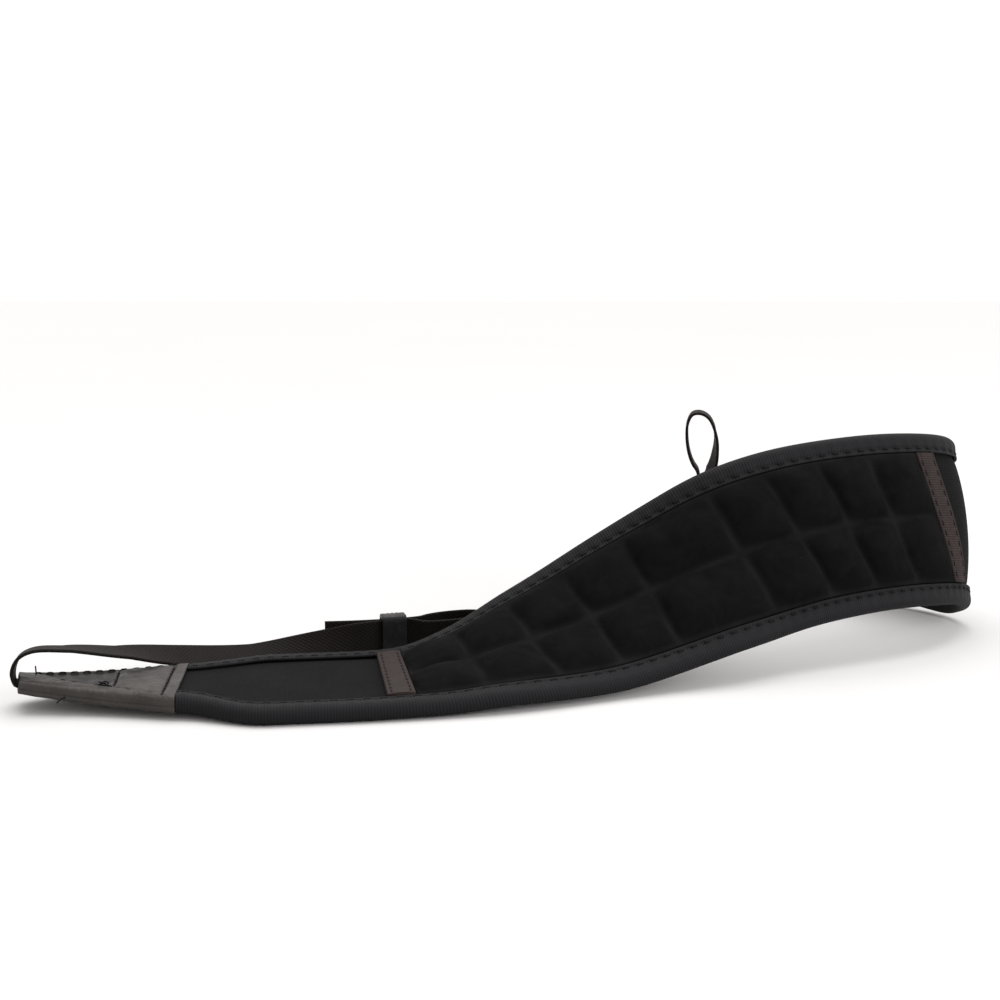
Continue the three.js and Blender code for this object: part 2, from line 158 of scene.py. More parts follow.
def smooth_column(table, column, along):
    """Column of a table at distances along it, by cubics that never overshoot the rows: at each row
    the slope is the harmonic mean of the slopes either side, or nought at a turning point."""
    x, y = table[:, 0], table[:, column]
    slope = np.diff(y) / np.diff(x)
    inner = slope[:-1] * slope[1:]
    total = np.where(inner > 0, slope[:-1] + slope[1:], 1)
    tangent = np.concatenate([slope[:1], np.where(inner > 0, 2 * inner / total, 0), slope[-1:]])
    i = np.clip(np.searchsorted(x, along, side="right") - 1, 0, len(x) - 2)
    span = x[i + 1] - x[i]
    t = (along - x[i]) / span
    rise = t * t * (3 - 2 * t)
    return (y[i] * (1 - rise) + y[i + 1] * rise + tangent[i] * span * t * (1 - t) ** 2
            - tangent[i + 1] * span * t * t * (1 - t))


def strap_axes(turn, climb, lean):
    """Unit vectors along, across and out of the neck face of a strap with this heading, slope and
    lean in degrees: the level direction across is tipped up by the lean about the strap's line."""
    a, b, c = (np.radians(np.asarray(v, float)) for v in (turn, climb, lean))
    along = np.stack([np.cos(b) * np.cos(a), np.cos(b) * np.sin(a), np.sin(b)], -1)
    level = np.stack([-np.sin(a), np.cos(a), 0 * a], -1)
    upright = np.cross(along, level)
    across = level * np.cos(c)[..., None] + upright * np.sin(c)[..., None]
    return along, across, np.cross(along, across)


def axes_at(along):
    """The strap's three axes at distances along it."""
    clipped = np.clip(along, 0, STRAP_LENGTH)
    return strap_axes(*(smooth_column(STRAP_ROUTE, k, clipped) for k in (1, 2, 3)))


STATIONS = np.arange(0, STRAP_LENGTH + 1)
LINE = np.concatenate([np.zeros((1, 3)), np.cumsum(axes_at(STATIONS[:-1] + 0.5)[0], 0)])
LINE -= LINE[int(RESTING)] - np.array([0, 0, 2.9 / 2 + GAP + BINDING_WALL])


def bow(along, across):
    """How far the foam bows out of its neck face round the right-hand bend, where the bindings hold
    its edges back: a parabola across the band that swells and dies along it."""
    rise = smoothstep(along, 296, 322) * (1 - smoothstep(along, 336, 364))
    return 3.0 * rise * np.clip(1 - (across / 23.5) ** 2, 0, 1)


def lay(along, across, out):
    """Places on the strap's route, in the frame and in metres: the route's point, plus the distance
    across times the direction across, plus the height times the direction out of the neck face."""
    out = out + bow(along, across)
    point = np.stack([np.interp(along, STATIONS, LINE[:, k]) for k in range(3)], -1)
    ahead, wide, face = axes_at(along)
    beyond = along - np.clip(along, 0, STRAP_LENGTH)
    place = point + ahead * beyond[..., None] + wide * across[..., None] + face * out[..., None]
    return into_frame(place)


def into_frame(place):
    """Millimetres from the resting place as metres in the frame."""
    return (place + np.array([*FRAME_PLACE, 0.0])) / 1000


def webbing_route(points, across, steps):
    """A centripetal Catmull-Rom line through points, cut into equal steps, with its axes: at each
    place the direction across is blended between the rows' and squared to the line."""
    ends = np.concatenate([[2 * points[0] - points[1]], points, [2 * points[-1] - points[-2]]])
    gap = np.sqrt(np.linalg.norm(np.diff(ends, axis=0), axis=1))
    count = len(points) - 1
    i = np.arange(count)
    d0, d1, d2 = (gap[i + k][:, None] for k in range(3))
    p0, p1, p2, p3 = (ends[i + k] for k in range(4))
    start = ((p1 - p0) / d0 - (p2 - p0) / (d0 + d1) + (p2 - p1) / d1) * d1
    stop = ((p2 - p1) / d1 - (p3 - p1) / (d1 + d2) + (p3 - p2) / d2) * d1
    t = np.linspace(0, 1, 65)[None, :, None]
    p1, p2, start, stop = (v[:, None] for v in (p1, p2, start, stop))
    rise = t * t * (3 - 2 * t)
    curve = p1 * (1 - rise) + p2 * rise + start * t * (1 - t) ** 2 - stop * t * t * (1 - t)
    dense = np.concatenate([curve[:, :-1].reshape(-1, 3), curve[-1, -1:]])
    knot = np.linspace(0, count, len(dense))
    distance = np.concatenate([[0], np.cumsum(np.linalg.norm(np.diff(dense, axis=0), axis=1))])
    even = np.linspace(0, distance[-1], steps + 1)
    place = np.stack([np.interp(even, distance, dense[:, k]) for k in range(3)], -1)
    row = np.interp(even, distance, knot)
    wide = np.stack([np.interp(row, np.arange(count + 1), across[:, k]) for k in range(3)], -1)
    ahead = unit(np.gradient(place, axis=0))
    wide = unit(wide - ahead * (wide * ahead).sum(-1, keepdims=True))
    return even, place, ahead, wide, np.cross(ahead, wide)


def unit(vectors):
    return vectors / np.linalg.norm(vectors, axis=-1, keepdims=True)


def keeper_axes(keeper):
    """Middle of a keeper, and its directions along, across and aside."""
    along, across, out = strap_axes(keeper["turn"], keeper["climb"], 90)
    return np.array(keeper["centre"], float), along, across, out * keeper["side"]


def webbing_rows(end, run, keeper):
    """Points and directions across for a whole webbing: out of the leather, to the keeper, round the
    lug and back through the keeper."""
    tip = 0.0 if end < 0 else STRAP_LENGTH
    stations = np.array([tip - end * 14.0, tip])
    ahead, wide, _ = axes_at(stations)
    inside, mouth = (np.array([np.interp(s, STATIONS, LINE[:, k]) for k in range(3)])
                     for s in stations)
    points = [inside, mouth, mouth + ahead[1] * end * 0.9, *run[:, :3]]
    across = [wide[0], wide[1], wide[1], *unit(run[:, 3:])]
    centre, along, level, aside = keeper_axes(keeper)
    half, within = LAYER_PITCH / 2, KEEPER_LENGTH / 2 + 1
    twist = np.radians(LUG_LOOP[:, 2:]) * keeper["side"]
    loop = centre + along * LUG_LOOP[:, :1] + aside * LUG_LOOP[:, 1:2]
    turned = level * np.cos(twist) + np.cross(along, level) * np.sin(twist)
    before = [(-within - 5, half + 1), (-within, half), (within, half)]
    after = [(within, -half), (-within, -half), (-TAIL / 2 - within / 2, -half - 0.8),
             (-TAIL, -half - 2.2)]
    points += [centre + along * a + aside * b for a, b in before] + list(loop)
    points += [centre + along * a + aside * b for a, b in after]
    across += [level] * len(before) + list(turned) + [level] * len(after)
    return np.array(points), np.array(across)


# ---- surfaces -----------------------------------------------------------------------------------


def smoothstep(x, low, high):
    t = np.clip((x - low) / (high - low), 0, 1)
    return t * t * (3 - 2 * t)


def hump(x, centre, width):
    """A smooth bump one high, about that wide."""
    return np.exp(-((x - centre) / width) ** 2)


def from_near_end(along):
    return np.minimum(along, STRAP_LENGTH - along)


def strap_width(along, full):
    """Width over the bindings: full, with an S-shaped shoulder down to the leather's mouth."""
    rise = smoothstep(from_near_end(along), LEATHER_LENGTH, LEATHER_LENGTH + SHOULDER)
    mouth = MOUTH_WIDTH - 2 * GAP
    return mouth + (full - mouth) * rise


def skewed(along, across, width):
    """Where the lining's weave lies: the twist of the band skews it right of its middle, bunches its
    seams a little to the right and draws its right end back."""
    part = smoothstep(along, 195, 255)
    drawn = LINING_SWELL * hump(along, 233, 18) - LINING_DRIFT * smoothstep(along, 250, 290)
    return along + drawn - LINING_SKEW * part * across / width


def rounded_section(width, thick, radius, flat_points, round_points, side_points=1):
    """A rectangle with rounded corners as a closed ring, anticlockwise from the middle of its right
    side. Each point is a corner's centre plus the radius times a direction, so the section can
    change size along a piece. Returns across, height and the distance round it from the start."""
    corner = np.linspace(0, np.pi / 2, round_points + 1)
    spots = []
    corners = [(1, 1), (-1, 1), (-1, -1), (1, -1)]
    outwards = [(0, 1), (-1, 0), (0, -1), (1, 0)]
    for quarter, (sx, sy) in enumerate(corners):
        spots += [(sx, sy, *d) for d in zip(np.cos(corner + quarter * np.pi / 2),
                                            np.sin(corner + quarter * np.pi / 2))]
        straight = flat_points if quarter % 2 == 0 else side_points
        next_x, next_y = corners[(quarter + 1) % 4]
        for t in np.linspace(0, 1, straight + 2)[1:-1]:
            spots.append((sx + (next_x - sx) * t, sy + (next_y - sy) * t, *outwards[quarter]))
    sx, sy, dx, dy = np.array(spots).T
    w, h, r = (np.atleast_1d(np.asarray(v, float))[:, None] for v in (width, thick, radius))
    across = sx * (w / 2 - r) + dx * r
    height = sy * (h / 2 - r) + dy * r
    return across, height, ring_distance(across, height)


def ring_distance(across, height):
    """Distance round a closed ring of points, with the whole way round as its last column."""
    step = np.hypot(np.diff(across, append=across[:, :1], axis=1),
                    np.diff(height, append=height[:, :1], axis=1))
    return np.concatenate([np.zeros((len(step), 1)), np.cumsum(step, 1)], 1)


def make_skin(name, rings, u, v, finish, closed_along=False):
    """A closed mesh from a grid of points: n rings of m points, joined ring to ring, each ring closed
    on itself. The ends are closed by a fan to their middle, or the last ring is joined to the first.
    u and v are the flat pattern's millimetres along and round the piece."""
    n, m = rings.shape[:2]
    rows = np.arange(n if closed_along else n - 1)[:, None]
    cols = np.arange(m)[None, :]
    here, there = rows * m, ((rows + 1) % n) * m
    right = (cols + 1) % m
    quads = np.stack([here + cols, here + right, there + right, there + cols], -1).reshape(-1, 4)
    points = rings.reshape(-1, 3)
    u = np.broadcast_to(u, (n + closed_along, m + 1)) if closed_along else np.broadcast_to(u, (n, m + 1))
    v = np.broadcast_to(v, u.shape)
    grid = np.stack([u, v], -1)
    cell = [grid[:-1, :-1], grid[:-1, 1:], grid[1:, 1:], grid[1:, :-1]]
    flat = np.stack(cell, 2).reshape(-1, 2)
    faces = quads.tolist()
    if not closed_along:
        points = np.concatenate([points, rings[:1].mean(1), rings[-1:].mean(1)])
        first = np.stack([cols[0] * 0 + n * m, right[0], cols[0]], -1)
        last = np.stack([cols[0] * 0 + n * m + 1, (n - 1) * m + cols[0], (n - 1) * m + right[0]], -1)
        faces += first.tolist() + last.tolist()
        for fan, row in ((first, 0), (last, n - 1)):
            middle = np.broadcast_to(grid[row].mean(0), (m, 2))
            pair = [grid[row, 1:], grid[row, :-1]] if row == 0 else [grid[row, :-1], grid[row, 1:]]
            flat = np.concatenate([flat, np.stack([middle, *pair], 1).reshape(-1, 2)])
    return make_mesh(name, points, faces, flat, finish)


def sheet_quads(n, m):
    """Corner numbers of the squares of a flat grid of n by m points."""
    rows, cols = np.arange(n - 1)[:, None] * m, np.arange(m - 1)[None]
    quads = np.stack([rows + cols, rows + m + cols, rows + m + cols + 1, rows + cols + 1], -1)
    return quads.reshape(-1, 4).tolist()


def mark_points(piece, name, values):
    """Keeps a value for every point of a piece, for its material to read."""
    mark = piece.data.attributes.new(name, "FLOAT", "POINT")
    mark.data.foreach_set("value", values.astype(np.float32))


def make_mesh(name, points, faces, flat, finish):
    """A smooth mesh object at the origin, turned inside out if its enclosed volume is negative, with
    its flat pattern in the UV map flat_mm."""
    mesh = bpy.data.meshes.new(name)
    mesh.from_pydata(points.tolist(), [], faces)
    mesh.uv_layers.new(name="flat_mm").data.foreach_set("uv", flat.astype(np.float32).ravel())
    mesh.polygons.foreach_set("use_smooth", np.ones(len(faces), bool))
    if enclosed_volume(mesh) < 0:
        mesh.flip_normals()
    mesh.update()
    mesh.materials.append(finish)
    piece = bpy.data.objects.new(name, mesh)
    bpy.context.scene.collection.objects.link(piece)
    return piece


def enclosed_volume(mesh):
    """Volume inside a closed mesh: a sixth of the sum over its triangles of the corners' triple
    product, which is positive when the faces point outwards."""
    mesh.calc_loop_triangles()
    corner = np.empty(len(mesh.loop_triangles) * 3, np.int32)
    mesh.loop_triangles.foreach_get("vertices", corner)
    place = np.empty(len(mesh.vertices) * 3)
    mesh.vertices.foreach_get("co", place)
    a, b, c = place.reshape(-1, 3)[corner.reshape(-1, 3)].transpose(1, 0, 2)
    return float(np.einsum("ij,ij->i", a, np.cross(b, c)).sum() / 6)


def settle(piece, slot, *nodes):
    """Puts a finished piece on the strap's body, in place of the plain solids it stands for."""
    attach(piece, "root")
    if nodes:
        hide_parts(*nodes)
    return piece


def make_stitches(name, start, stop, lift, thick, finish, bow=0.45):
    """Threads sewn from start to stop points, one row of arrays each: every thread is a tube with six
    sides that rises from the cloth, runs over it and goes back in. lift is the direction out of the
    cloth at each stitch, and bow is how far the thread's middle stands out of it, in millimetres."""
    t = np.linspace(0, 1, 7)
    line = start[:, None] + (stop - start)[:, None] * t[None, :, None]
    arch = (1 - (2 * t - 1) ** 4) * bow - 0.12
    line = line + lift[:, None] * arch[None, :, None] / 1000
    ahead = unit(stop - start)
    side = unit(np.cross(ahead, lift))
    angle = np.linspace(0, 2 * np.pi, 7)[:-1]
    radius = thick / 2000 * (1 - 0.6 * (2 * t - 1) ** 8)
    spoke = (side[:, None, None] * np.cos(angle)[None, None, :, None]
             + lift[:, None, None] * np.sin(angle)[None, None, :, None])
    rings = line[:, :, None] + spoke * radius[None, :, None, None]
    return join_tubes(name, rings, finish)


def make_threads(name, lines, thick, finish):
    """Threads along lines of places, thread by place: at each place a ring of six points square to
    the line."""
    ahead = unit(np.gradient(lines, axis=1))
    side = unit(np.cross(ahead, unit(np.array([0.31, 0.47, 0.83]))))
    lift = np.cross(side, ahead)
    angle = np.linspace(0, 2 * np.pi, 7)[:-1, None]
    spoke = side[:, :, None] * np.cos(angle) + lift[:, :, None] * np.sin(angle)
    return join_tubes(name, lines[:, :, None] + spoke * thick / 2000, finish)


def join_tubes(name, rings, finish):
    """Many tubes in one mesh: rings is tube by ring by side by place, and each end is one face."""
    tubes, n, m = rings.shape[:3]
    base = np.arange(tubes)[:, None, None] * n * m
    rows, cols = np.arange(n - 1)[None, :, None] * m, np.arange(m)[None, None, :]
    right = (cols + 1) % m
    quads = np.stack(np.broadcast_arrays(base + rows + cols, base + rows + right,
                                         base + rows + m + right, base + rows + m + cols), -1)
    ends = np.arange(tubes)[:, None] * n * m + np.arange(m)[None]
    faces = quads.reshape(-1, 4).tolist() + ends[:, ::-1].tolist() + (ends + (n - 1) * m).tolist()
    points = rings.reshape(-1, 3)
    mesh = bpy.data.meshes.new(name)
    mesh.from_pydata(points.tolist(), [], faces)
    corners = np.empty(len(mesh.loops), np.int32)
    mesh.loops.foreach_get("vertex_index", corners)
    u = np.broadcast_to(np.linspace(0, 3, n)[None, :, None], rings.shape[:3]).ravel()
    v = np.broadcast_to(np.linspace(0, 1.5, m)[None, None, :], rings.shape[:3]).ravel()
    flat = np.stack([u[corners], v[corners]], -1)
    mesh.uv_layers.new(name="flat_mm").data.foreach_set("uv", flat.astype(np.float32).ravel())
    mesh.polygons.foreach_set("use_smooth", np.ones(len(mesh.polygons), bool))
    if enclosed_volume(mesh) < 0:
        mesh.flip_normals()
    mesh.materials.append(finish)
    piece = bpy.data.objects.new(name, mesh)
    bpy.context.scene.collection.objects.link(piece)
    return piece


# ---- materials ----------------------------------------------------------------------------------


def add(tree, kind, settings=None, links=None):
    """Adds a node. settings are its own values, or its sockets' by name or number. links are the
    sockets of other nodes that feed its inputs."""
    made = tree.nodes.new(kind)
    for key, value in (settings or {}).items():
        if isinstance(key, str) and hasattr(made, key):
            setattr(made, key, value)
        else:
            made.inputs[key].default_value = value
    for key, socket in (links or {}).items():
        tree.links.new(socket, made.inputs[key])
    return made


def new_finish(name):
    """An empty material with its shader: returns the material, its tree and the shader."""
    finish = bpy.data.materials.new(name)
    finish.use_nodes = True
    tree = finish.node_tree
    tree.nodes.clear()
    shader = add(tree, "ShaderNodeBsdfPrincipled")
    add(tree, "ShaderNodeOutputMaterial", links={"Surface": shader.outputs["BSDF"]})
    return finish, tree, shader


def flat_pattern(tree):
    """The piece's flat pattern: the millimetres along it and across it."""
    flat = add(tree, "ShaderNodeUVMap", {"uv_map": "flat_mm"})
    return add(tree, "ShaderNodeSeparateXYZ", links={0: flat.outputs["UV"]})


def ridges(tree, distance, pitch, shift=0.0):
    """Round ridges at a pitch: half of one plus the cosine of the distance over the pitch."""
    turn = 2 * math.pi
    phase = add(tree, "ShaderNodeMath", {"operation": "MULTIPLY_ADD", 1: turn / pitch, 2: turn * shift},
                {0: distance})
    wave = add(tree, "ShaderNodeMath", {"operation": "COSINE"}, {0: phase.outputs[0]})
    return weighted(tree, (wave.outputs[0], 0.5), plus=0.5)


def weighted(tree, *parts, plus=0.0):
    """The sum of patterns, each times its share, on top of a constant."""
    total = None
    for pattern, share in parts:
        links = {0: pattern} if total is None else {0: pattern, 2: total}
        settings = {"operation": "MULTIPLY_ADD", 1: share, 2: plus}
        total = add(tree, "ShaderNodeMath", settings, links).outputs[0]
    return total


def woven(tree, flat, along_pitch, around_pitch, shift=0.0):
    """Threads or loops that cross: the ridges along a piece times the ridges round it."""
    along = ridges(tree, flat.outputs[0], along_pitch, shift)
    around = ridges(tree, flat.outputs[1], around_pitch, shift)
    return add(tree, "ShaderNodeMath", {"operation": "MULTIPLY"}, {0: along, 1: around}).outputs[0]


def cloudy(tree, size_mm, detail=3.0, roughness=0.5, distortion=0.0):
    """Cloudy variation whose patches are about that many millimetres, on the object's own place."""
    place = add(tree, "ShaderNodeTexCoord").outputs["Object"]
    settings = {"Scale": 1000 / size_mm, "Detail": detail, "Roughness": roughness,
                "Distortion": distortion}
    return add(tree, "ShaderNodeTexNoise", settings, {"Vector": place}).outputs["Fac"]


def shades(tree, mix, dark, light, low=0.0, high=1.0):
    """A colour between dark and light as mix goes from low to high."""
    part = add(tree, "ShaderNodeMapRange", {1: low, 2: high}, {0: mix}).outputs[0]
    ends = {"data_type": "RGBA", "clamp_factor": True, 6: (*dark, 1), 7: (*light, 1)}
    return add(tree, "ShaderNodeMix", ends, {0: part}).outputs[2]


def tint(colour, factor):
    return tuple(min(1.0, c * factor) for c in colour)


def specks(tree, colour, paler, spacing_mm, size):
    """Lint on a dark cloth: small light specks, one in some of the cells of a random pattern."""
    place = add(tree, "ShaderNodeTexCoord").outputs["Object"]
    cells = add(tree, "ShaderNodeTexVoronoi", {"Scale": 1000 / spacing_mm}, {"Vector": place})
    near = add(tree, "ShaderNodeMapRange", {1: size, 2: size * 0.4}, {0: cells.outputs["Distance"]})
    chance = add(tree, "ShaderNodeSeparateColor", links={0: cells.outputs["Color"]})
    some = add(tree, "ShaderNodeMath", {"operation": "GREATER_THAN", 1: 0.72}, {0: chance.outputs[0]})
    speck = add(tree, "ShaderNodeMath", {"operation": "MULTIPLY"},
                {0: near.outputs[0], 1: some.outputs[0]})
    made = add(tree, "ShaderNodeMix", {"data_type": "RGBA", "clamp_factor": True, 7: (*paler, 1)},
               {0: speck.outputs[0], 6: colour})
    return made.outputs[2]


def dress(tree, shader, colour, height_mm, roughness, specular, sheen=0.0, sheen_spread=0.5):
    """Gives a shader its colour, its relief from a height in millimetres, and how it shines.
    roughness is a number or a pattern."""
    tree.links.new(colour, shader.inputs["Base Color"])
    bump = add(tree, "ShaderNodeBump", {"Strength": 1.0, "Distance": 0.001}, {"Height": height_mm})
    tree.links.new(bump.outputs["Normal"], shader.inputs["Normal"])
    if isinstance(roughness, float):
        shader.inputs["Roughness"].default_value = roughness
    else:
        tree.links.new(roughness, shader.inputs["Roughness"])
    shader.inputs["Specular IOR Level"].default_value = specular
    shader.inputs["Sheen Weight"].default_value = sheen
    shader.inputs["Sheen Roughness"].default_value = sheen_spread


CLOTH_SHEEN = 0.006


def neoprene_finish(colours):
    # Closed-cell neoprene with nylon jersey bonded to it: fine upright columns of stitches, a soft
    # matt black that greys where the light grazes it, and some lint. The columns are drawn 0.9 mm
    # apart, about twice as coarse as real ones, so that they show.
    finish, tree, shader = new_finish("nylon_jersey_on_neoprene")
    knit = woven(tree, flat_pattern(tree), 0.7, 0.9)
    mix = weighted(tree, (cloudy(tree, 1.6, 2.0), 0.5), (cloudy(tree, 14.0), 0.5), (knit, 0.35))
    base = tuple(colours.neoprene)
    colour = shades(tree, mix, tint(base, 0.55), tint(base, 1.6), 0.25, 1.0)
    colour = specks(tree, colour, linear("3a3633"), 5.0, 0.035)
    height = weighted(tree, (cloudy(tree, 9.0, 2.0), 0.25), (knit, 0.07))
    dress(tree, shader, colour, height, 0.85, 0.05, CLOTH_SHEEN, 0.4)
    return finish


def lining_finish(colours):
    # Microfibre suede: a very short brushed nap that swallows light face on and goes grey at grazing
    # angles, brushed lighter and darker in patches, with lint caught in it, and a painted highlight along the
    # quilting seams.
    finish, tree, shader = new_finish("microfibre_suede")
    base = tuple(colours.lining)
    brushed = cloudy(tree, 7.0, 4.0, 0.6, 0.8)
    # painted highlight: the colour is made lighter along the seams
    seam = add(tree, "ShaderNodeAttribute", {"attribute_name": "seam_highlight"}).outputs["Fac"]
    mix = weighted(tree, (brushed, 0.6), (seam, 0.55))
    colour = shades(tree, mix, tint(base, 0.7), tint(base, 2.6), 0.15, 1.0)
    colour = specks(tree, colour, linear("37332f"), 3.6, 0.04)
    nap = cloudy(tree, 0.55, 3.0, 0.65)
    height = weighted(tree, (cloudy(tree, 5.0, 2.0), 0.12), (nap, 0.07))
    dress(tree, shader, colour, height, 0.95, 0.03, CLOTH_SHEEN, 0.3)
    return finish


def knit_finish(colours, rib_pitch):
    # Ribbed polyester knit tape: round ribs across the tape, each made of small loops, with a slight
    # sheen on the ribs' tops and dark between them, and painted shade in the stitches' holes.
    finish, tree, shader = new_finish("ribbed_polyester_knit")
    flat = flat_pattern(tree)
    ribs = ridges(tree, flat.outputs[0], rib_pitch)
    base = tuple(colours.knit)
    # painted shade: the colour darkens at the stitches' holes
    hole = add(tree, "ShaderNodeAttribute", {"attribute_name": "stitch_hole_shade"}).outputs["Fac"]
    mix = weighted(tree, (ribs, 0.6), (cloudy(tree, 5.0), 0.5), (hole, -1.1))
    colour = shades(tree, mix, tint(base, 0.45), tint(base, 1.3), -0.4, 0.9)
    colour = specks(tree, colour, linear("3a3633"), 6.0, 0.035)
    height = weighted(tree, (woven(tree, flat, rib_pitch, 0.7), 0.05), (ribs, 0.07))
    dress(tree, shader, colour, height, 0.7, 0.12, CLOTH_SHEEN)
    return finish


def ribbon_finish(colours):
    # Grosgrain: a tightly woven tape with fine cords across it, brownish grey with a dull lustre.
    finish, tree, shader = new_finish("grosgrain_tape")
    flat = flat_pattern(tree)
    cords = ridges(tree, flat.outputs[1], 0.8)
    base = tuple(colours.ribbon)
    mix = weighted(tree, (cords, 0.4), (cloudy(tree, 3.0), 0.6))
    colour = shades(tree, mix, tint(base, 0.6), tint(base, 1.5), 0.2, 0.85)
    height = weighted(tree, (woven(tree, flat, 0.6, 0.8), 0.05), (cords, 0.12))
    dress(tree, shader, colour, height, 0.65, 0.1, CLOTH_SHEEN)
    return finish


def leather_finish(colours):
    # Polyurethane-coated leather: embossed pebble grain about 1.1 mm across and a satin coat. The colour
    # is darker in the grain's creases, and painted shade darkens it over the sunk panel.
    finish, tree, shader = new_finish("coated_split_leather")
    place = {"Vector": add(tree, "ShaderNodeTexCoord").outputs["Object"]}
    grain = 1000 / 1.1
    pebble = add(tree, "ShaderNodeTexVoronoi",
                 {"feature": "SMOOTH_F1", "Scale": grain, "Smoothness": 0.35}, place)
    crease = add(tree, "ShaderNodeTexVoronoi", {"feature": "DISTANCE_TO_EDGE", "Scale": grain}, place)
    # painted shade: the colour is darker over the sunk panel
    panel = add(tree, "ShaderNodeAttribute", {"attribute_name": "sunk_panel_shade"}).outputs["Fac"]
    base = tuple(colours.leather)
    mix = weighted(tree, (crease.outputs["Distance"], 0.5), (cloudy(tree, 6.0, 5.0, 0.6), 0.8),
                   (panel, -0.62))
    colour = shades(tree, mix, tint(base, 0.22), tint(base, 1.3), -0.15, 0.85)
    height = weighted(tree, (cloudy(tree, 0.5, 3.0), 0.03), (pebble.outputs["Distance"], -0.11),
                      (cloudy(tree, 5.0, 2.0), 0.3))
    rough = add(tree, "ShaderNodeMapRange", {1: 0.3, 2: 0.75, 3: 0.42, 4: 0.6}, {0: cloudy(tree, 4.0)})
    dress(tree, shader, colour, height, rough.outputs[0], 0.2)
    return finish


def webbing_finish(colours):
    # Woven nylon webbing: a plain weave, drawn with threads 1.6 mm apart along the tape and 1.25 mm
    # apart across it, coarser than real ones so that they show, lustrous on the threads' tops.
    finish, tree, shader = new_finish("woven_nylon_webbing")
    flat = flat_pattern(tree)
    weave = weighted(tree, (woven(tree, flat, 1.6, 1.25), 1.0), (woven(tree, flat, 1.6, 1.25, 0.5), 1.0))
    base = tuple(colours.webbing)
    mix = weighted(tree, (weave, 0.5), (cloudy(tree, 4.0), 0.5))
    colour = shades(tree, mix, tint(base, 0.7), tint(base, 1.5), 0.15, 0.85)
    dress(tree, shader, colour, weighted(tree, (weave, 0.13)), 0.6, 0.06, CLOTH_SHEEN)
    return finish


def keeper_finish(colours):
    # Injection-moulded acetal: a fine spark-eroded texture that scatters the light, with faint
    # cloudiness and rub marks.
    finish, tree, shader = new_finish("moulded_acetal")
    base = tuple(colours.plastic)
    colour = shades(tree, cloudy(tree, 3.0, 4.0), tint(base, 0.8), tint(base, 1.5), 0.3, 0.75)
    height = weighted(tree, (cloudy(tree, 0.35, 2.0), 0.04))
    rough = add(tree, "ShaderNodeMapRange", {1: 0.3, 2: 0.7, 3: 0.32, 4: 0.5}, {0: cloudy(tree, 1.8)})
    dress(tree, shader, colour, height, rough.outputs[0], 0.2)
    return finish


def thread_finish(name, base):
    # Bonded polyester thread: three plies twisted together, so a slanting groove runs round it.
    finish, tree, shader = new_finish(name)
    flat = flat_pattern(tree)
    slant = weighted(tree, (flat.outputs[1], 1.0), (flat.outputs[0], 1.0))
    ply = ridges(tree, slant, 0.75)
    colour = shades(tree, ply, tint(base, 0.5), tint(base, 1.6))
    dress(tree, shader, colour, weighted(tree, (ply, 0.08)), 0.6, 0.1)
    return finish


def floor_finish(colours):
    # White coated board: matt, with the faintest cloudiness.
    finish, tree, shader = new_finish("white_coated_board")
    base = tuple(colours.floor)
    tree.links.new(shades(tree, cloudy(tree, 300.0, 2.0), tint(base, 0.97), tint(base, 1.0)),
                   shader.inputs["Base Color"])
    shader.inputs["Roughness"].default_value = 0.9
    shader.inputs["Specular IOR Level"].default_value = 0.1
    return finish


# ---- pieces -------------------------------------------------------------------------------------


def in_mm(sizes, name):
    return getattr(sizes, name) * 1000


def open_span():
    """Where the band shows between the leather ends."""
    return LEATHER_LENGTH + GAP, STRAP_LENGTH - LEATHER_LENGTH - GAP


class STRAP_OT_band(bpy.types.Operator):
    """Neoprene band with its knit face"""

    bl_idname = "strap.band"
    bl_label = "Neoprene band"

    def execute(self, context):
        sizes, colours = context.scene.strap_sizes, context.scene.strap_colours
        thick = in_mm(sizes, "band_thick")
        start, stop = open_span()
        reach = 15.0  # the band's ends run this far into the leather as tapered tongues
        along = np.linspace(start - reach, stop + reach, 420)
        into = np.clip((start - from_near_end(along)) / reach, 0, 1)
        full = strap_width(along, in_mm(sizes, "width")) - 2 * (BINDING_WALL + GAP)
        width = full + (27.0 - full) * into
        depth = thick + (2.2 - thick) * into
        across, height, around = rounded_section(width, depth, 0.9, 40, 4)
        # the band is squeezed a little under the edge of each binding, and its foam is never quite flat
        near = in_mm(sizes, "width") / 2 - in_mm(sizes, "flap")
        squeeze = 0.28 * smoothstep(np.abs(across), near - 2.5, near + 0.6)
        ripple = 0.1 * np.sin(along[:, None] / 9.0 + 0.6 * across / 10) * np.cos(across / 7.0)
        height = height - np.sign(height) * squeeze * (1 - into[:, None]) + ripple * (1 - into[:, None])
        rings = lay(np.broadcast_to(along[:, None], across.shape), across, height)
        piece = make_skin("neoprene_band", rings, along[:, None], around, neoprene_finish(colours))
        settle(piece, "neoprene", "neck_band")
        return {"FINISHED"}


def seam_lines():
    """Seams across the lining, as distances from its middle: its two ends and the blocks' edges."""
    blocks = QUILT_CENTRE / 2 + QUILT_PITCH * np.arange(SIDE_BLOCKS)
    return np.concatenate([[-LINING_HALF], -blocks[::-1], blocks, [LINING_HALF]])


def seam_grid(width, cell):
    """Distances along and across for a grid of the lining with a line of points on every seam."""
    seams = seam_lines()
    parts = [np.linspace(a, b, int(round((b - a) / cell)) + 1)[:-1] for a, b in zip(seams[:-1], seams[1:])]
    along = np.concatenate([*parts, seams[-1:]])
    across = np.linspace(-width / 2, width / 2, 2 * int(round(width / 2 / cell)) + 1)
    return np.meshgrid(along, across, indexing="ij")


def to_nearest_seam(along, across, width):
    """Distance to the nearest sewn line: a seam across, the middle seam or an edge."""
    lengthways = np.abs(along[..., None] - seam_lines()).min(-1)
    crossways = np.minimum(np.abs(across), width / 2 - np.abs(across))
    return np.minimum(lengthways, crossways)


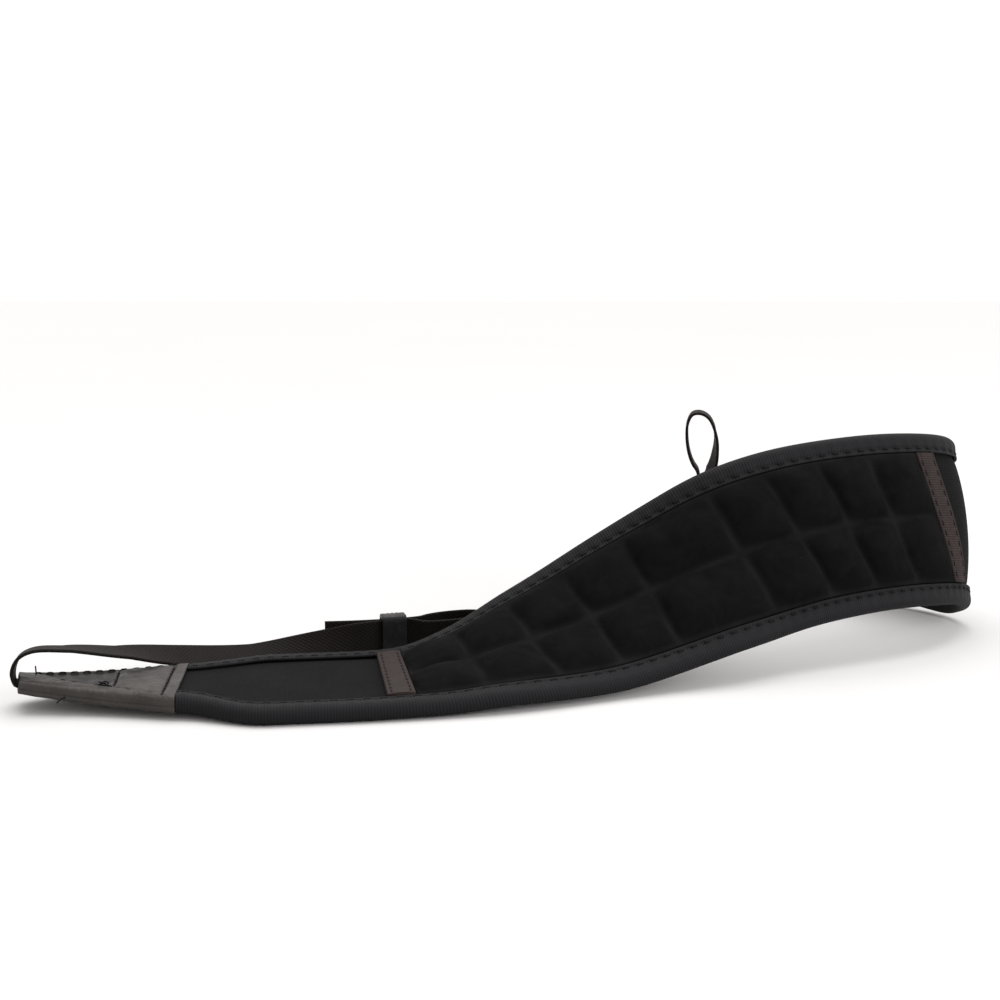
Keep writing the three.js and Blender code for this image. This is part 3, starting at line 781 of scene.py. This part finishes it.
def from_rounded_seam(along, across, width, ease=0.8):
    """The same distance with the blocks' corners eased: a soft minimum, less the ease times the log
    of the sum of the two distances' exponentials."""
    lengthways = np.abs(along[..., None] - seam_lines()).min(-1)
    crossways = np.minimum(np.abs(across), width / 2 - np.abs(across))
    both = np.exp(-lengthways / ease) + np.exp(-crossways / ease)
    return np.clip(-ease * np.log(both), 0, None)


def simulate_lining(along, across, width, sizes):
    """The lining blown up like cloth between its seams: it is cut a little larger than its blocks,
    held at every seam and pressed outwards until it is full. Cloth works at ten times real size."""
    scale = 0.01
    sewn = to_nearest_seam(along, across, width) < 1e-3
    slack = np.where(sewn, 0, np.random.default_rng(7).uniform(0.05, 0.25, along.shape))
    n, m = along.shape
    points = np.stack([along, across, slack], -1).reshape(-1, 3) * scale
    mesh = bpy.data.meshes.new("lining_cloth")
    mesh.from_pydata(points.tolist(), [], sheet_quads(n, m))
    cloth_piece = bpy.data.objects.new("lining_cloth", mesh)
    bpy.context.scene.collection.objects.link(cloth_piece)
    pins = cloth_piece.vertex_groups.new(name="sewn")
    pins.add(np.flatnonzero(sewn.ravel()).tolist(), 1.0, "REPLACE")
    cloth = cloth_piece.modifiers.new("cloth", "CLOTH")
    feel = cloth.settings
    feel.vertex_group_mass = "sewn"
    feel.use_pressure = True
    feel.uniform_pressure_force = 4.0
    feel.shrink_min = -sizes.fullness
    feel.quality = 6
    feel.mass = 0.3
    feel.tension_stiffness = feel.compression_stiffness = 15.0
    feel.shear_stiffness = 5.0
    feel.bending_stiffness = 0.05
    feel.tension_damping = feel.compression_damping = feel.shear_damping = 25.0
    feel.air_damping = 6.0
    feel.effector_weights.gravity = 0.0
    cloth.point_cache.frame_start = 1
    cloth.point_cache.frame_end = sizes.cloth_frames
    for step in range(1, sizes.cloth_frames + 1):
        bpy.context.scene.frame_set(step)
    settled = cloth_piece.evaluated_get(bpy.context.evaluated_depsgraph_get()).data
    place = np.empty(len(settled.vertices) * 3)
    settled.vertices.foreach_get("co", place)
    bpy.context.scene.frame_set(1)
    bpy.data.objects.remove(cloth_piece)
    bpy.data.meshes.remove(mesh)
    place = place.reshape(n, m, 3) / scale
    return place - np.stack([along, across, 0 * along], -1)


def soften(values, spread):
    """The padding under the cloth irons out its small creases: a Gaussian average over so many grid
    cells, along and then across."""
    reach = int(3 * spread)
    weight = np.exp(-0.5 * (np.arange(-reach, reach + 1) / spread) ** 2)
    for axis in (0, 1):
        edges = [(0, 0)] * values.ndim
        edges[axis] = (reach, reach)
        padded = np.pad(values, edges, mode="reflect", reflect_type="odd")
        count = values.shape[axis]
        values = sum(w * np.take(padded, np.arange(k, k + count), axis) for k, w in enumerate(weight))
        values = values / weight.sum()
    return values


class STRAP_OT_lining(bpy.types.Operator):
    """Quilted lining, two rows of puffed blocks"""

    bl_idname = "strap.lining"
    bl_label = "Quilted lining"

    def execute(self, context):
        sizes, colours = context.scene.strap_sizes, context.scene.strap_colours
        width = in_mm(sizes, "width") - 2 * (in_mm(sizes, "flap") + GAP)
        face = in_mm(sizes, "band_thick") / 2 + GAP
        along, across = seam_grid(width, 0.8)
        puff = in_mm(sizes, "puff")
        move = soften(simulate_lining(along, across, width, sizes), 2.0)
        if not np.isfinite(move).all() or move[..., 2].max() < 1:
            raise RuntimeError("the lining's cloth did not fill")
        move = move * (puff / np.quantile(move[..., 2], 0.995))
        move = np.clip(move, -1.6, puff * 1.15)  # cap how far the cloth may have moved
        # the seam draws the cloth down into a channel beside its stitches
        # the sewing wanders a little
        wander = 0.35 * np.sin(across / 4.1 + along / 17) + 0.25 * np.sin(along / 5.3 + across / 9)
        inner = np.abs(across) < width / 2 - 4
        from_seam = from_rounded_seam(along + wander, across + 0.7 * wander * inner, width)
        channel = np.exp(-(from_seam / 1.1) ** 2)
        rim = np.minimum(width / 2 - np.abs(across), LINING_HALF - np.abs(along))
        move = move * (1 - np.exp(-(from_seam / 1.5) ** 2))[..., None]
        top = face + 1.0 + move[..., 2] - 0.4 * channel * smoothstep(rim, 0, 1.2)
        # the outermost blocks bulge over the ribbons
        past = LINING_HALF - np.abs(along)
        row = 1 - (2 * (np.abs(across) % (width / 2)) / (width / 2) - 1) ** 2
        bulge = 1.5 * np.exp(-((past - 2.4) / 1.8) ** 2) * row * smoothstep(past, 0, 1.2)
        x = along + move[..., 0] + np.sign(along) * bulge
        y = across + move[..., 1]
        # the top sheet, wrapped round its edges to a flat back
        back = np.broadcast_to(face, top.shape)
        ring_x = np.concatenate([x, along[:, ::-1]], 1)
        ring_y = np.concatenate([y, across[:, ::-1]], 1)
        ring_z = np.concatenate([top, back], 1)
        station = skewed(STRAP_LENGTH / 2 + ring_x, ring_y, width)
        rings = lay(station, ring_y, ring_z)
        around = ring_distance(ring_y, ring_z)
        u = np.concatenate([ring_x, ring_x[:, :1]], 1)
        piece = make_skin("quilted_lining", rings, u, around, lining_finish(colours))
        # painted highlight along the seams, in patches, for the lining's colour to read
        drift = np.sin(along / 3.7 + 1.3 * np.sin(across / 5.1)) * np.cos(across / 3.3 + along / 11)
        patches = 0.65 + 0.35 * drift
        paler = np.exp(-(from_seam / 1.2) ** 2) * patches
        paler = np.concatenate([paler, 0 * paler], 1).ravel()
        mark_points(piece, "seam_highlight", np.append(paler, [0, 0]))
        settle(piece, "lining", "quilted_pad")
        return {"FINISHED"}


class STRAP_OT_ribbons(bpy.types.Operator):
    """Grosgrain tapes sewn across the lining's ends"""

    bl_idname = "strap.ribbons"
    bl_label = "End ribbons"

    def execute(self, context):
        sizes, colours = context.scene.strap_sizes, context.scene.strap_colours
        width = in_mm(sizes, "width") - 2 * (in_mm(sizes, "flap") + GAP)
        face = in_mm(sizes, "band_thick") / 2 + GAP
        finish = ribbon_finish(colours)
        thread = thread_finish("polyester_thread_ribbon", tint(tuple(colours.ribbon), 0.45))
        for side, word in ((-1, "left"), (1, "right")):
            across = np.linspace(-width / 2, width / 2, 90)
            x, z, around = rounded_section(np.full(90, RIBBON_WIDTH), np.full(90, RIBBON_THICK), 0.45, 26, 4)
            middle = STRAP_LENGTH / 2 + side * (LINING_HALF + GAP + RIBBON_WIDTH / 2)
            # stitches along both edges dimple the tape
            rows = hump(np.abs(x), RIBBON_WIDTH / 2 - 1.3, 0.5) * (z > 0)
            dimple = 0.22 * rows * (0.6 + 0.4 * np.cos(2 * np.pi * across[:, None] / 3.4))
            swell = 0.18 * (1 - (2 * x / RIBBON_WIDTH) ** 2) * (z > 0)
            height = face + RIBBON_THICK / 2 + z - dimple + swell
            y = np.broadcast_to(across[:, None], x.shape)
            rings = lay(skewed(middle + x, y, width), y, height)
            piece = make_skin(f"ribbon_tape_{word}", rings, around, across[:, None], finish)
            settle(piece, "ribbon", f"ribbon_{word}")
            start = np.arange(-width / 2 + 1.2, width / 2 - 3.0, 3.4)
            y0 = np.concatenate([start, start])
            x0 = np.repeat([-1, 1], len(start)) * (RIBBON_WIDTH / 2 - 1.3) + middle
            top = np.full(len(y0), face + RIBBON_THICK - 0.1)
            first, last = (lay(skewed(x0, y, width), y, top) for y in (y0 + 0.4, y0 + 2.7))
            lift = unit(lay(skewed(x0, y0, width), y0, top + 1) - lay(skewed(x0, y0, width), y0, top))
            sewn = make_stitches(f"ribbon_stitches_{word}", first, last, lift, 0.45, thread, bow=0.3)
            settle(sewn, "ribbon")
        return {"FINISHED"}


def binding_section(half_thick, flap):
    """The folded tape's section, as distance inwards from the strap's edge and height: up the round
    of the fold, in along the upper flap, round its cut edge and back along the inner wall."""
    outer = half_thick + GAP + BINDING_WALL
    inner = half_thick + GAP
    round_angle = np.linspace(-np.pi / 2, np.pi / 2, 15)
    fold = np.stack([outer - outer * np.cos(round_angle), outer * np.sin(round_angle)], -1)
    way_in = np.linspace(outer, flap - 0.5, 19)[1:]
    upper = np.stack([way_in, np.full(len(way_in), outer)], -1)
    lip_angle = np.linspace(np.pi / 2, -np.pi / 2, 7)
    lip_height = (outer + inner) / 2
    lip = np.stack([flap - 0.5 + 0.5 * np.cos(lip_angle), lip_height + 0.5 * np.sin(lip_angle)], -1)[1:]
    way_out = np.linspace(flap - 0.5, BINDING_WALL + 0.3, 5)[1:]
    inside = np.stack([way_out, np.full(len(way_out), inner)], -1)
    top = np.concatenate([upper, lip, inside])
    bottom = top[::-1] * [1, -1]
    return np.concatenate([fold, top, bottom])


def stitch_row(flap):
    """How far in from the strap's edge the bindings' stitches run."""
    return flap - 1.5


class STRAP_OT_bindings(bpy.types.Operator):
    """Ribbed knit tapes folded over the band's edges and sewn down"""

    bl_idname = "strap.bindings"
    bl_label = "Edge bindings"

    def execute(self, context):
        sizes, colours = context.scene.strap_sizes, context.scene.strap_colours
        flap, pitch = in_mm(sizes, "flap"), in_mm(sizes, "stitch_pitch")
        outer = in_mm(sizes, "band_thick") / 2 + GAP + BINDING_WALL
        section = binding_section(in_mm(sizes, "band_thick") / 2, flap)
        finish = knit_finish(colours, in_mm(sizes, "rib_pitch"))
        thread = thread_finish("polyester_thread_binding", tuple(colours.thread))
        start, stop = open_span()
        along = np.linspace(start - 0.2, stop + 0.2, 541)
        for side, word in ((-1, "front"), (1, "back")):
            inwards = np.broadcast_to(section[:, 0], (len(along), len(section)))
            height = np.broadcast_to(section[:, 1], inwards.shape)
            # every stitch pulls the flap down, and the tape gathers into a soft pucker beside it
            phase = np.cos(2 * np.pi * (along[:, None] - start) / pitch + (0.4 if side > 0 else 0))
            sewn = hump(inwards, stitch_row(flap), 0.75)
            outside = np.abs(height) > outer * 0.7
            pull = 0.5 * sewn * (0.5 + 0.5 * phase) * outside
            pucker = 0.1 * phase * hump(inwards, flap - 3.2, 1.6) * outside
            roll = 0.12 * np.sin(along[:, None] / 6.3 + side) * hump(inwards, 1.2, 2.0)
            height_now = height - np.sign(height) * (pull + pucker)
            across = side * (strap_width(along, in_mm(sizes, "width"))[:, None] / 2 - inwards + roll * 0.6)
            rings = lay(np.broadcast_to(along[:, None], across.shape), across, height_now)
            around = ring_distance(np.broadcast_to(section[:, 0], across.shape),
                                   np.broadcast_to(section[:, 1], across.shape))
            piece = make_skin(f"binding_tape_{word}", rings, along[:, None], around, finish)
            # painted shade at each stitch's hole, for the knit's colour to read
            hole = hump(inwards, stitch_row(flap), 0.75) * smoothstep(-phase, -0.1, 0.5) * outside
            mark_points(piece, "stitch_hole_shade", np.append(hole.ravel(), [0, 0]))
            settle(piece, "knit", f"binding_{word}")
            # a row of stitches on each flap
            first = np.arange(start, stop - 4.0, pitch)
            both = np.concatenate([first, first])
            face = np.repeat([1.0, -1.0], len(first))
            shown = in_mm(sizes, "stitch_length")
            begin = both + (pitch - shown) / 2 - (0.4 if side > 0 else 0) * pitch / (2 * np.pi)
            ends = []
            for s in (begin, begin + shown):
                row = side * (strap_width(s, in_mm(sizes, "width")) / 2 - stitch_row(flap))
                ends.append(lay(s, row, face * (outer - 0.3)))
            row = side * (strap_width(begin, in_mm(sizes, "width")) / 2 - stitch_row(flap))
            lift = unit(lay(begin, row, face * (outer + 1)) - lay(begin, row, face * outer))
            stitches = make_stitches(f"binding_stitches_{word}", ends[0], ends[1], lift, 0.9, thread, bow=0.3)
            settle(stitches, "knit")
        return {"FINISHED"}


def flap_edge(u):
    """Where the front flap of the leather ends on the upper face: it covers the tip and draws back to
    the front edge towards the mouth."""
    return np.interp(u, [0, 3, 10, 42, 46], [9, 8, 0, -16, -18])


def behind_flap(u, across, low=-0.25, high=0.45):
    return 1 - smoothstep(flap_edge(u) - across, low, high)


def recess_depth(u, across, half_width):
    """How much of the sunk panel between the tip and the box there is at a place, from 0 to 1."""
    inset = half_width - np.abs(across)
    return (smoothstep(u, 3, 7) * (1 - smoothstep(u, 25.3, 26.8)) * behind_flap(u, across)
            * smoothstep(inset, 1.0, 2.4))


def leather_relief(u, across, half_width, upper):
    """Height added to the leather's broad faces, in millimetres, at a distance u from its tip: a
    front flap that rolls over a sunk panel, a raised box by the mouth between two sewn grooves, and
    lines of stitching that draw the leather down."""
    inset = half_width - np.abs(across)
    rim = smoothstep(inset, 0.4, 2.0)
    on_flap = flap_edge(u) - across
    behind = behind_flap(u, across)
    roll = 0.32 * np.sin(np.pi * np.clip(on_flap / (flap_edge(u) + half_width + 0.01), 0, 1)) * (1 - behind)
    box = (0.3 * smoothstep(u, 28, 29.2) * (1 - smoothstep(u, 40.4, 41.6))
           * smoothstep(inset, 1.8, 3.4) * behind)
    grooves = (0.6 * hump(u, TIP_GROOVE, 0.45) * behind
               + 0.75 * hump(u, MOUTH_GROOVE, 0.45) * behind_flap(u, across, 2, 4))
    seam = 0.25 * hump(on_flap, 1.4, 0.45) * smoothstep(u, 9, 12) + 0.2 * hump(inset, 1.8, 0.5) * (across > 0)
    wrinkle = 0.1 * np.sin(u * 0.9 + across * 0.35) + 0.06 * np.sin(u * 0.35 - across * 0.8)
    sunk = 0.62 * recess_depth(u, across, half_width)
    top = roll + box - sunk - grooves - seam
    under = -0.2 * hump(inset, 2.4, 0.5) - 0.3 * hump(u, MOUTH_GROOVE, 0.45)
    return rim * (np.where(upper, top, under) + wrinkle)


class STRAP_OT_leather_ends(bpy.types.Operator):
    """Tapered leather ends, folded and sewn round the ends of the band"""

    bl_idname = "strap.leather_ends"
    bl_label = "Leather ends"

    def execute(self, context):
        colours = context.scene.strap_colours
        finish = leather_finish(colours)
        thread = thread_finish("polyester_thread_leather", tuple(colours.thread))
        steps = 231
        from_tip = np.linspace(0, 1, steps)
        for side, word in ((-1, "left"), (1, "right")):
            def sleeve(shrink, u, radius):
                part = u / LEATHER_LENGTH
                wide = TIP_WIDTH + (MOUTH_WIDTH - TIP_WIDTH) * part - 2 * shrink
                thick = TIP_THICK + (MOUTH_THICK - TIP_THICK) * part - 2 * shrink
                return rounded_section(wide, thick, radius, 104, 6, 9)

            u = from_tip * LEATHER_LENGTH
            across, height, _ = sleeve(0.0, u, 1.25 + 0.6 * from_tip)
            half = (TIP_WIDTH + (MOUTH_WIDTH - TIP_WIDTH) * from_tip)[:, None] / 2
            face = smoothstep(np.abs(height), 1.2, 1.9)
            more = leather_relief(u[:, None], across, half, height > 0) * face
            sunk = recess_depth(u[:, None], across, half) * (height > 0) * face
            height = height + np.sign(height) * np.clip(more, -0.8, 0.35)
            # the front fold, where the upper face meets the edge strip, is pressed to a soft crease
            crease = 0.3 * hump(height, -0.6, 0.3) * smoothstep(np.abs(across), 0, 6)
            across = across - np.sign(across) * crease * (face < 0.5)
            inner_u = np.linspace(LEATHER_LENGTH, 0, 24)
            inner_across, inner_height, _ = sleeve(LEATHER_WALL, inner_u, 0.45)
            # cut edges of the leather, rounded over
            turn = np.linspace(0, np.pi, 6)[1:-1]
            def lip(u_end, outward, ring_a, ring_b):
                t = ((1 - np.cos(turn)) / 2)[:, None]
                bulge = np.sin(turn)[:, None] * 0.35 * outward
                return (u_end + bulge * np.ones_like(ring_a[0]),
                        ring_a[0] * (1 - t) + ring_b[0] * t, ring_a[1] * (1 - t) + ring_b[1] * t)
            outer_ring = (across[-1:], height[-1:])
            inner_ring = (inner_across[:1], inner_height[:1])
            mouth = lip(LEATHER_LENGTH - 0.12, 1.0, outer_ring, inner_ring)
            tip = lip(0.12, -1.0, (inner_across[-1:], inner_height[-1:]), (across[:1], height[:1]))
            all_u = np.concatenate([np.broadcast_to(u[:, None], across.shape), mouth[0],
                                    np.broadcast_to(inner_u[:, None], inner_across.shape), tip[0]])
            all_across = np.concatenate([across, mouth[1], inner_across, tip[1]])
            all_height = np.concatenate([height, mouth[2], inner_height, tip[2]])
            station = all_u if side < 0 else STRAP_LENGTH - all_u
            rings = lay(station, all_across, all_height)
            around = ring_distance(all_across, all_height)
            flat_u = np.concatenate([all_u, all_u[:1]])[:, :1]
            around = np.concatenate([around, around[:1]])
            piece = make_skin(f"leather_sleeve_{word}", rings, flat_u, around, finish, closed_along=True)
            # painted shade over the sunk panel, for the leather's colour to read
            shade = np.zeros(all_across.shape)
            shade[:len(sunk)] = sunk
            mark_points(piece, "sunk_panel_shade", shade.ravel())
            settle(piece, "leather", f"leather_end_{word}")
            self.sew(side, word, thread)
            self.loose_threads(side, word, thread)
        return {"FINISHED"}

    def sew(self, side, word, thread):
        """Stitches inside both long edges and across the two grooves, on the upper and the under face."""
        pitch, shown = 3.3, 2.2
        u = np.arange(4.0, 43.0, pitch)
        half = (TIP_WIDTH + (MOUTH_WIDTH - TIP_WIDTH) * (u / LEATHER_LENGTH)) / 2 - 2.4
        slope = (MOUTH_WIDTH - TIP_WIDTH) / 2 / LEATHER_LENGTH
        rows = []
        for face, edge in ((1.0, 1.0), (-1.0, 1.0), (-1.0, -1.0)):
            far = edge * (half + (0.6 if face > 0 else 0))
            rows.append(np.stack([u, far, u + shown, far + edge * slope * shown, face + 0 * u], -1))
        u_flap = np.arange(11.0, 40.5, pitch)
        rows.append(np.stack([u_flap, flap_edge(u_flap) - 1.4, u_flap + shown,
                              flap_edge(u_flap + shown) - 1.4, 1 + 0 * u_flap], -1))
        for groove, near, away in ((TIP_GROOVE, -8.0, 11.5), (MOUTH_GROOVE, -17.0, 16.5)):
            y = np.arange(near, away - shown, pitch)
            rows.append(np.stack([groove + 0 * y, y, groove + 0 * y, y + shown, 1 + 0 * y], -1))
        u0, y0, u1, y1, face = np.concatenate(rows).T
        def at(u, y, more=0.0):
            thick = (TIP_THICK + (MOUTH_THICK - TIP_THICK) * u / LEATHER_LENGTH) / 2
            sunk = np.where(u0 == u1, 0.55, 0.2)
            return lay(u if side < 0 else STRAP_LENGTH - u, y, face * (thick - sunk + more))
        lift = unit(at(u0, y0, 1.0) - at(u0, y0))
        sewn = make_stitches(f"leather_stitches_{word}", at(u0, y0), at(u1, y1), lift, 0.5, thread, bow=0.32)
        settle(sewn, "leather")

    def loose_threads(self, side, word, thread):
        """The seam's cut ends, each a short curve that stands away, and the knot that ties the seam
        off: a trefoil, whose distance from its middle and height swing three times in two turns."""
        t = np.linspace(0, 1, 25)
        angle = 4 * np.pi * t
        swing = 0.75 + 0.3 * np.cos(1.5 * angle)
        knot = np.stack([24.0 + 1.5 * swing * np.cos(angle), -7.4 + 1.5 * swing * np.sin(angle),
                         2.9 + 0.4 * np.sin(1.5 * angle)], -1)
        standing = np.stack([4.6 - 0.5 * t, 4.0 + 1.5 * t ** 2, 1.9 + 2.6 * t - 0.3 * t * t], -1)
        hanging = np.stack([13.5 - 2.4 * t, -10.2 - 1.9 * np.sqrt(t), -0.9 - 1.5 * t * t], -1)
        tail = np.stack([24.6 + 2.2 * t, -8.2 - 1.3 * np.sin(2.2 * t), 3.1 - 0.5 * t], -1)
        lines = np.stack([knot, standing, hanging, tail])
        u = lines[..., 0] if side < 0 else STRAP_LENGTH - lines[..., 0]
        strands = make_threads(f"loose_thread_{word}", lay(u, lines[..., 1], lines[..., 2]), 0.42, thread)
        settle(strands, "leather")


class STRAP_OT_webbings(bpy.types.Operator):
    """Thin woven webbings, each through its keeper and in a loop for a camera's lug"""

    bl_idname = "strap.webbings"
    bl_label = "Webbings"

    def execute(self, context):
        finish = webbing_finish(context.scene.strap_colours)
        for end, word, run, keeper in ((-1, "left", LEFT_RUN, LEFT_KEEPER),
                                       (1, "right", RIGHT_RUN, RIGHT_KEEPER)):
            points, across = webbing_rows(end, run, keeper)
            even, place, _, wide, face = webbing_route(points, across, 460)
            count = len(even)
            y, z, around = rounded_section(np.full(count, WEBBING_WIDTH),
                                           np.full(count, WEBBING_THICK), 0.42, 16, 3)
            # the selvedges are a touch thicker than the middle of the weave
            z = z * (1 - 0.1 * (1 - (2 * y / WEBBING_WIDTH) ** 2))
            rings = place[:, None] + wide[:, None] * y[..., None] + face[:, None] * z[..., None]
            piece = make_skin(f"webbing_tape_{word}", into_frame(rings), even[:, None], around, finish)
            settle(piece, "webbing", f"webbing_{word}")
        return {"FINISHED"}


class STRAP_OT_keepers(bpy.types.Operator):
    """Moulded keepers that hold the two layers of each webbing"""

    bl_idname = "strap.keepers"
    bl_label = "Keepers"

    def execute(self, context):
        finish = keeper_finish(context.scene.strap_colours)
        wide = WEBBING_WIDTH + 2 * GAP + KEEPER_WALL
        thick = LAYER_PITCH + WEBBING_THICK + 2 * GAP + KEEPER_WALL
        for word, keeper in (("left", LEFT_KEEPER), ("right", RIGHT_KEEPER)):
            centre, along, across, _ = keeper_axes(keeper)
            depth = np.cross(along, across)
            # the wall's rounded section is carried once round the hole
            y, z, around = rounded_section(wide, thick, 0.8, 9, 5, 4)
            y, z = y[0], z[0]
            sideways = np.sign(y) * smoothstep(np.abs(y), wide / 2 - 1.2, wide / 2)
            upwards = np.sign(z) * smoothstep(np.abs(z), thick / 2 - 1.2, thick / 2)
            outward = unit(np.stack([sideways, upwards], -1) + 1e-9)
            w, t, _ = rounded_section(KEEPER_LENGTH, KEEPER_WALL, 0.4, 9, 4, 2)
            w, t = w[0], t[0]
            grip = 0.12 * np.cos(2 * np.pi * w / 1.6) * (t > KEEPER_WALL / 2 - 0.05) * (np.abs(w) < 2.6)
            r = t + grip
            py = y[:, None] + outward[:, :1] * r[None]
            pz = z[:, None] + outward[:, 1:] * r[None]
            rings = (centre + along * w[None, :, None] + across * py[..., None] + depth * pz[..., None])
            u = np.broadcast_to(around.T, (len(y) + 1, len(w) + 1))
            v = ring_distance(w[None], t[None])
            piece = make_skin(f"keeper_{word}", into_frame(rings), u, v, finish, closed_along=True)
            settle(piece, "plastic", f"slider_{word}")
        return {"FINISHED"}


FLOOR_REACH = 3.2   # metres from the middle to each side
VIEW_PLACE = (-0.01154, -0.46311, 0.131)
VIEW_DOWN = 9.8     # degrees below level
VIEW_LENS, VIEW_SENSOR = 52.45, 36.0

# name, kind, place, aim, size (an angle in radians for a sun, metres for an area) and power
LAMPS = (
    ("softbox_behind", "SUN", (0.0, 0.2, 1.0), (0.0, 0.0, 0.0), 1.0, 3.0),
    ("softbox_right", "AREA", (1.0, -0.55, 0.45), (0.05, 0.0, 0.02), 0.7, 9.0),
)


class STRAP_OT_stage(bpy.types.Operator):
    """Pale floor, soft studio light and the camera"""

    bl_idname = "strap.stage"
    bl_label = "Stage"

    def execute(self, context):
        scene, colours = context.scene, context.scene.strap_colours
        # the floor is one flat sheet, wide enough to reach past the view on every side
        x, y = np.meshgrid(np.linspace(-FLOOR_REACH, FLOOR_REACH, 9),
                           np.linspace(-FLOOR_REACH, FLOOR_REACH, 65), indexing="ij")
        mesh = bpy.data.meshes.new("table_top")
        mesh.from_pydata(np.stack([x, y, 0 * x], -1).reshape(-1, 3).tolist(), [], sheet_quads(*x.shape))
        mesh.materials.append(floor_finish(colours))
        floor = bpy.data.objects.new("table_top", mesh)
        scene.collection.objects.link(floor)
        world = bpy.data.worlds.new("white_studio")
        world.use_nodes = True
        sky = world.node_tree.nodes["Background"]
        sky.inputs["Color"].default_value = (1.0, 0.955, 0.945, 1)
        sky.inputs["Strength"].default_value = 1.06
        scene.world = world
        for name, kind, place, aim, size, power in LAMPS:
            lamp = bpy.data.lights.new(name, kind)
            lamp.energy = power
            if kind == "SUN":
                lamp.angle = size
            else:
                lamp.shape, lamp.size = "SQUARE", size
            box = bpy.data.objects.new(name, lamp)
            scene.collection.objects.link(box)
            box.location = place
            toward = np.array(aim) - np.array(place)
            pitch = math.atan2(math.hypot(toward[0], toward[1]), -toward[2])
            box.rotation_euler = (pitch, 0, math.atan2(-toward[0], toward[1]))
        lens = bpy.data.cameras.new("viewpoint")
        lens.lens, lens.sensor_width = VIEW_LENS, VIEW_SENSOR
        lens.clip_start = 0.01
        viewpoint = bpy.data.objects.new("viewpoint", lens)
        scene.collection.objects.link(viewpoint)
        viewpoint.location = VIEW_PLACE
        viewpoint.rotation_euler = (math.radians(90 - VIEW_DOWN), 0, 0)
        scene.camera = viewpoint
        scene.view_settings.view_transform = "Standard"
        scene.view_settings.look = "None"
        return {"FINISHED"}


# ---- the add-on ---------------------------------------------------------------------------------

STEPS = (STRAP_OT_band, STRAP_OT_lining, STRAP_OT_ribbons, STRAP_OT_bindings, STRAP_OT_leather_ends,
         STRAP_OT_webbings, STRAP_OT_keepers, STRAP_OT_stage)


class STRAP_PT_panel(bpy.types.Panel):
    """Sizes, colours and the strap's building steps"""

    bl_idname = "STRAP_PT_panel"
    bl_label = "Camera neck strap"
    bl_space_type = "VIEW_3D"
    bl_region_type = "UI"
    bl_category = "Strap"

    def draw(self, context):
        for group in (context.scene.strap_sizes, context.scene.strap_colours):
            box = self.layout.box()
            for name in group.__annotations__:
                box.prop(group, name)
        for step in STEPS:
            self.layout.operator(step.bl_idname)


CLASSES = (StrapSizes, StrapColours, *STEPS, STRAP_PT_panel)


def register():
    for cls in CLASSES:
        bpy.utils.register_class(cls)
    bpy.types.Scene.strap_sizes = PointerProperty(type=StrapSizes)
    bpy.types.Scene.strap_colours = PointerProperty(type=StrapColours)


def unregister():
    del bpy.types.Scene.strap_sizes
    del bpy.types.Scene.strap_colours
    for cls in reversed(CLASSES):
        bpy.utils.unregister_class(cls)


def main():
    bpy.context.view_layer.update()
    register()
    for step in STEPS:
        group, name = step.bl_idname.split(".")
        getattr(getattr(bpy.ops, group), name)()


if __name__ == "__main__":
    main()
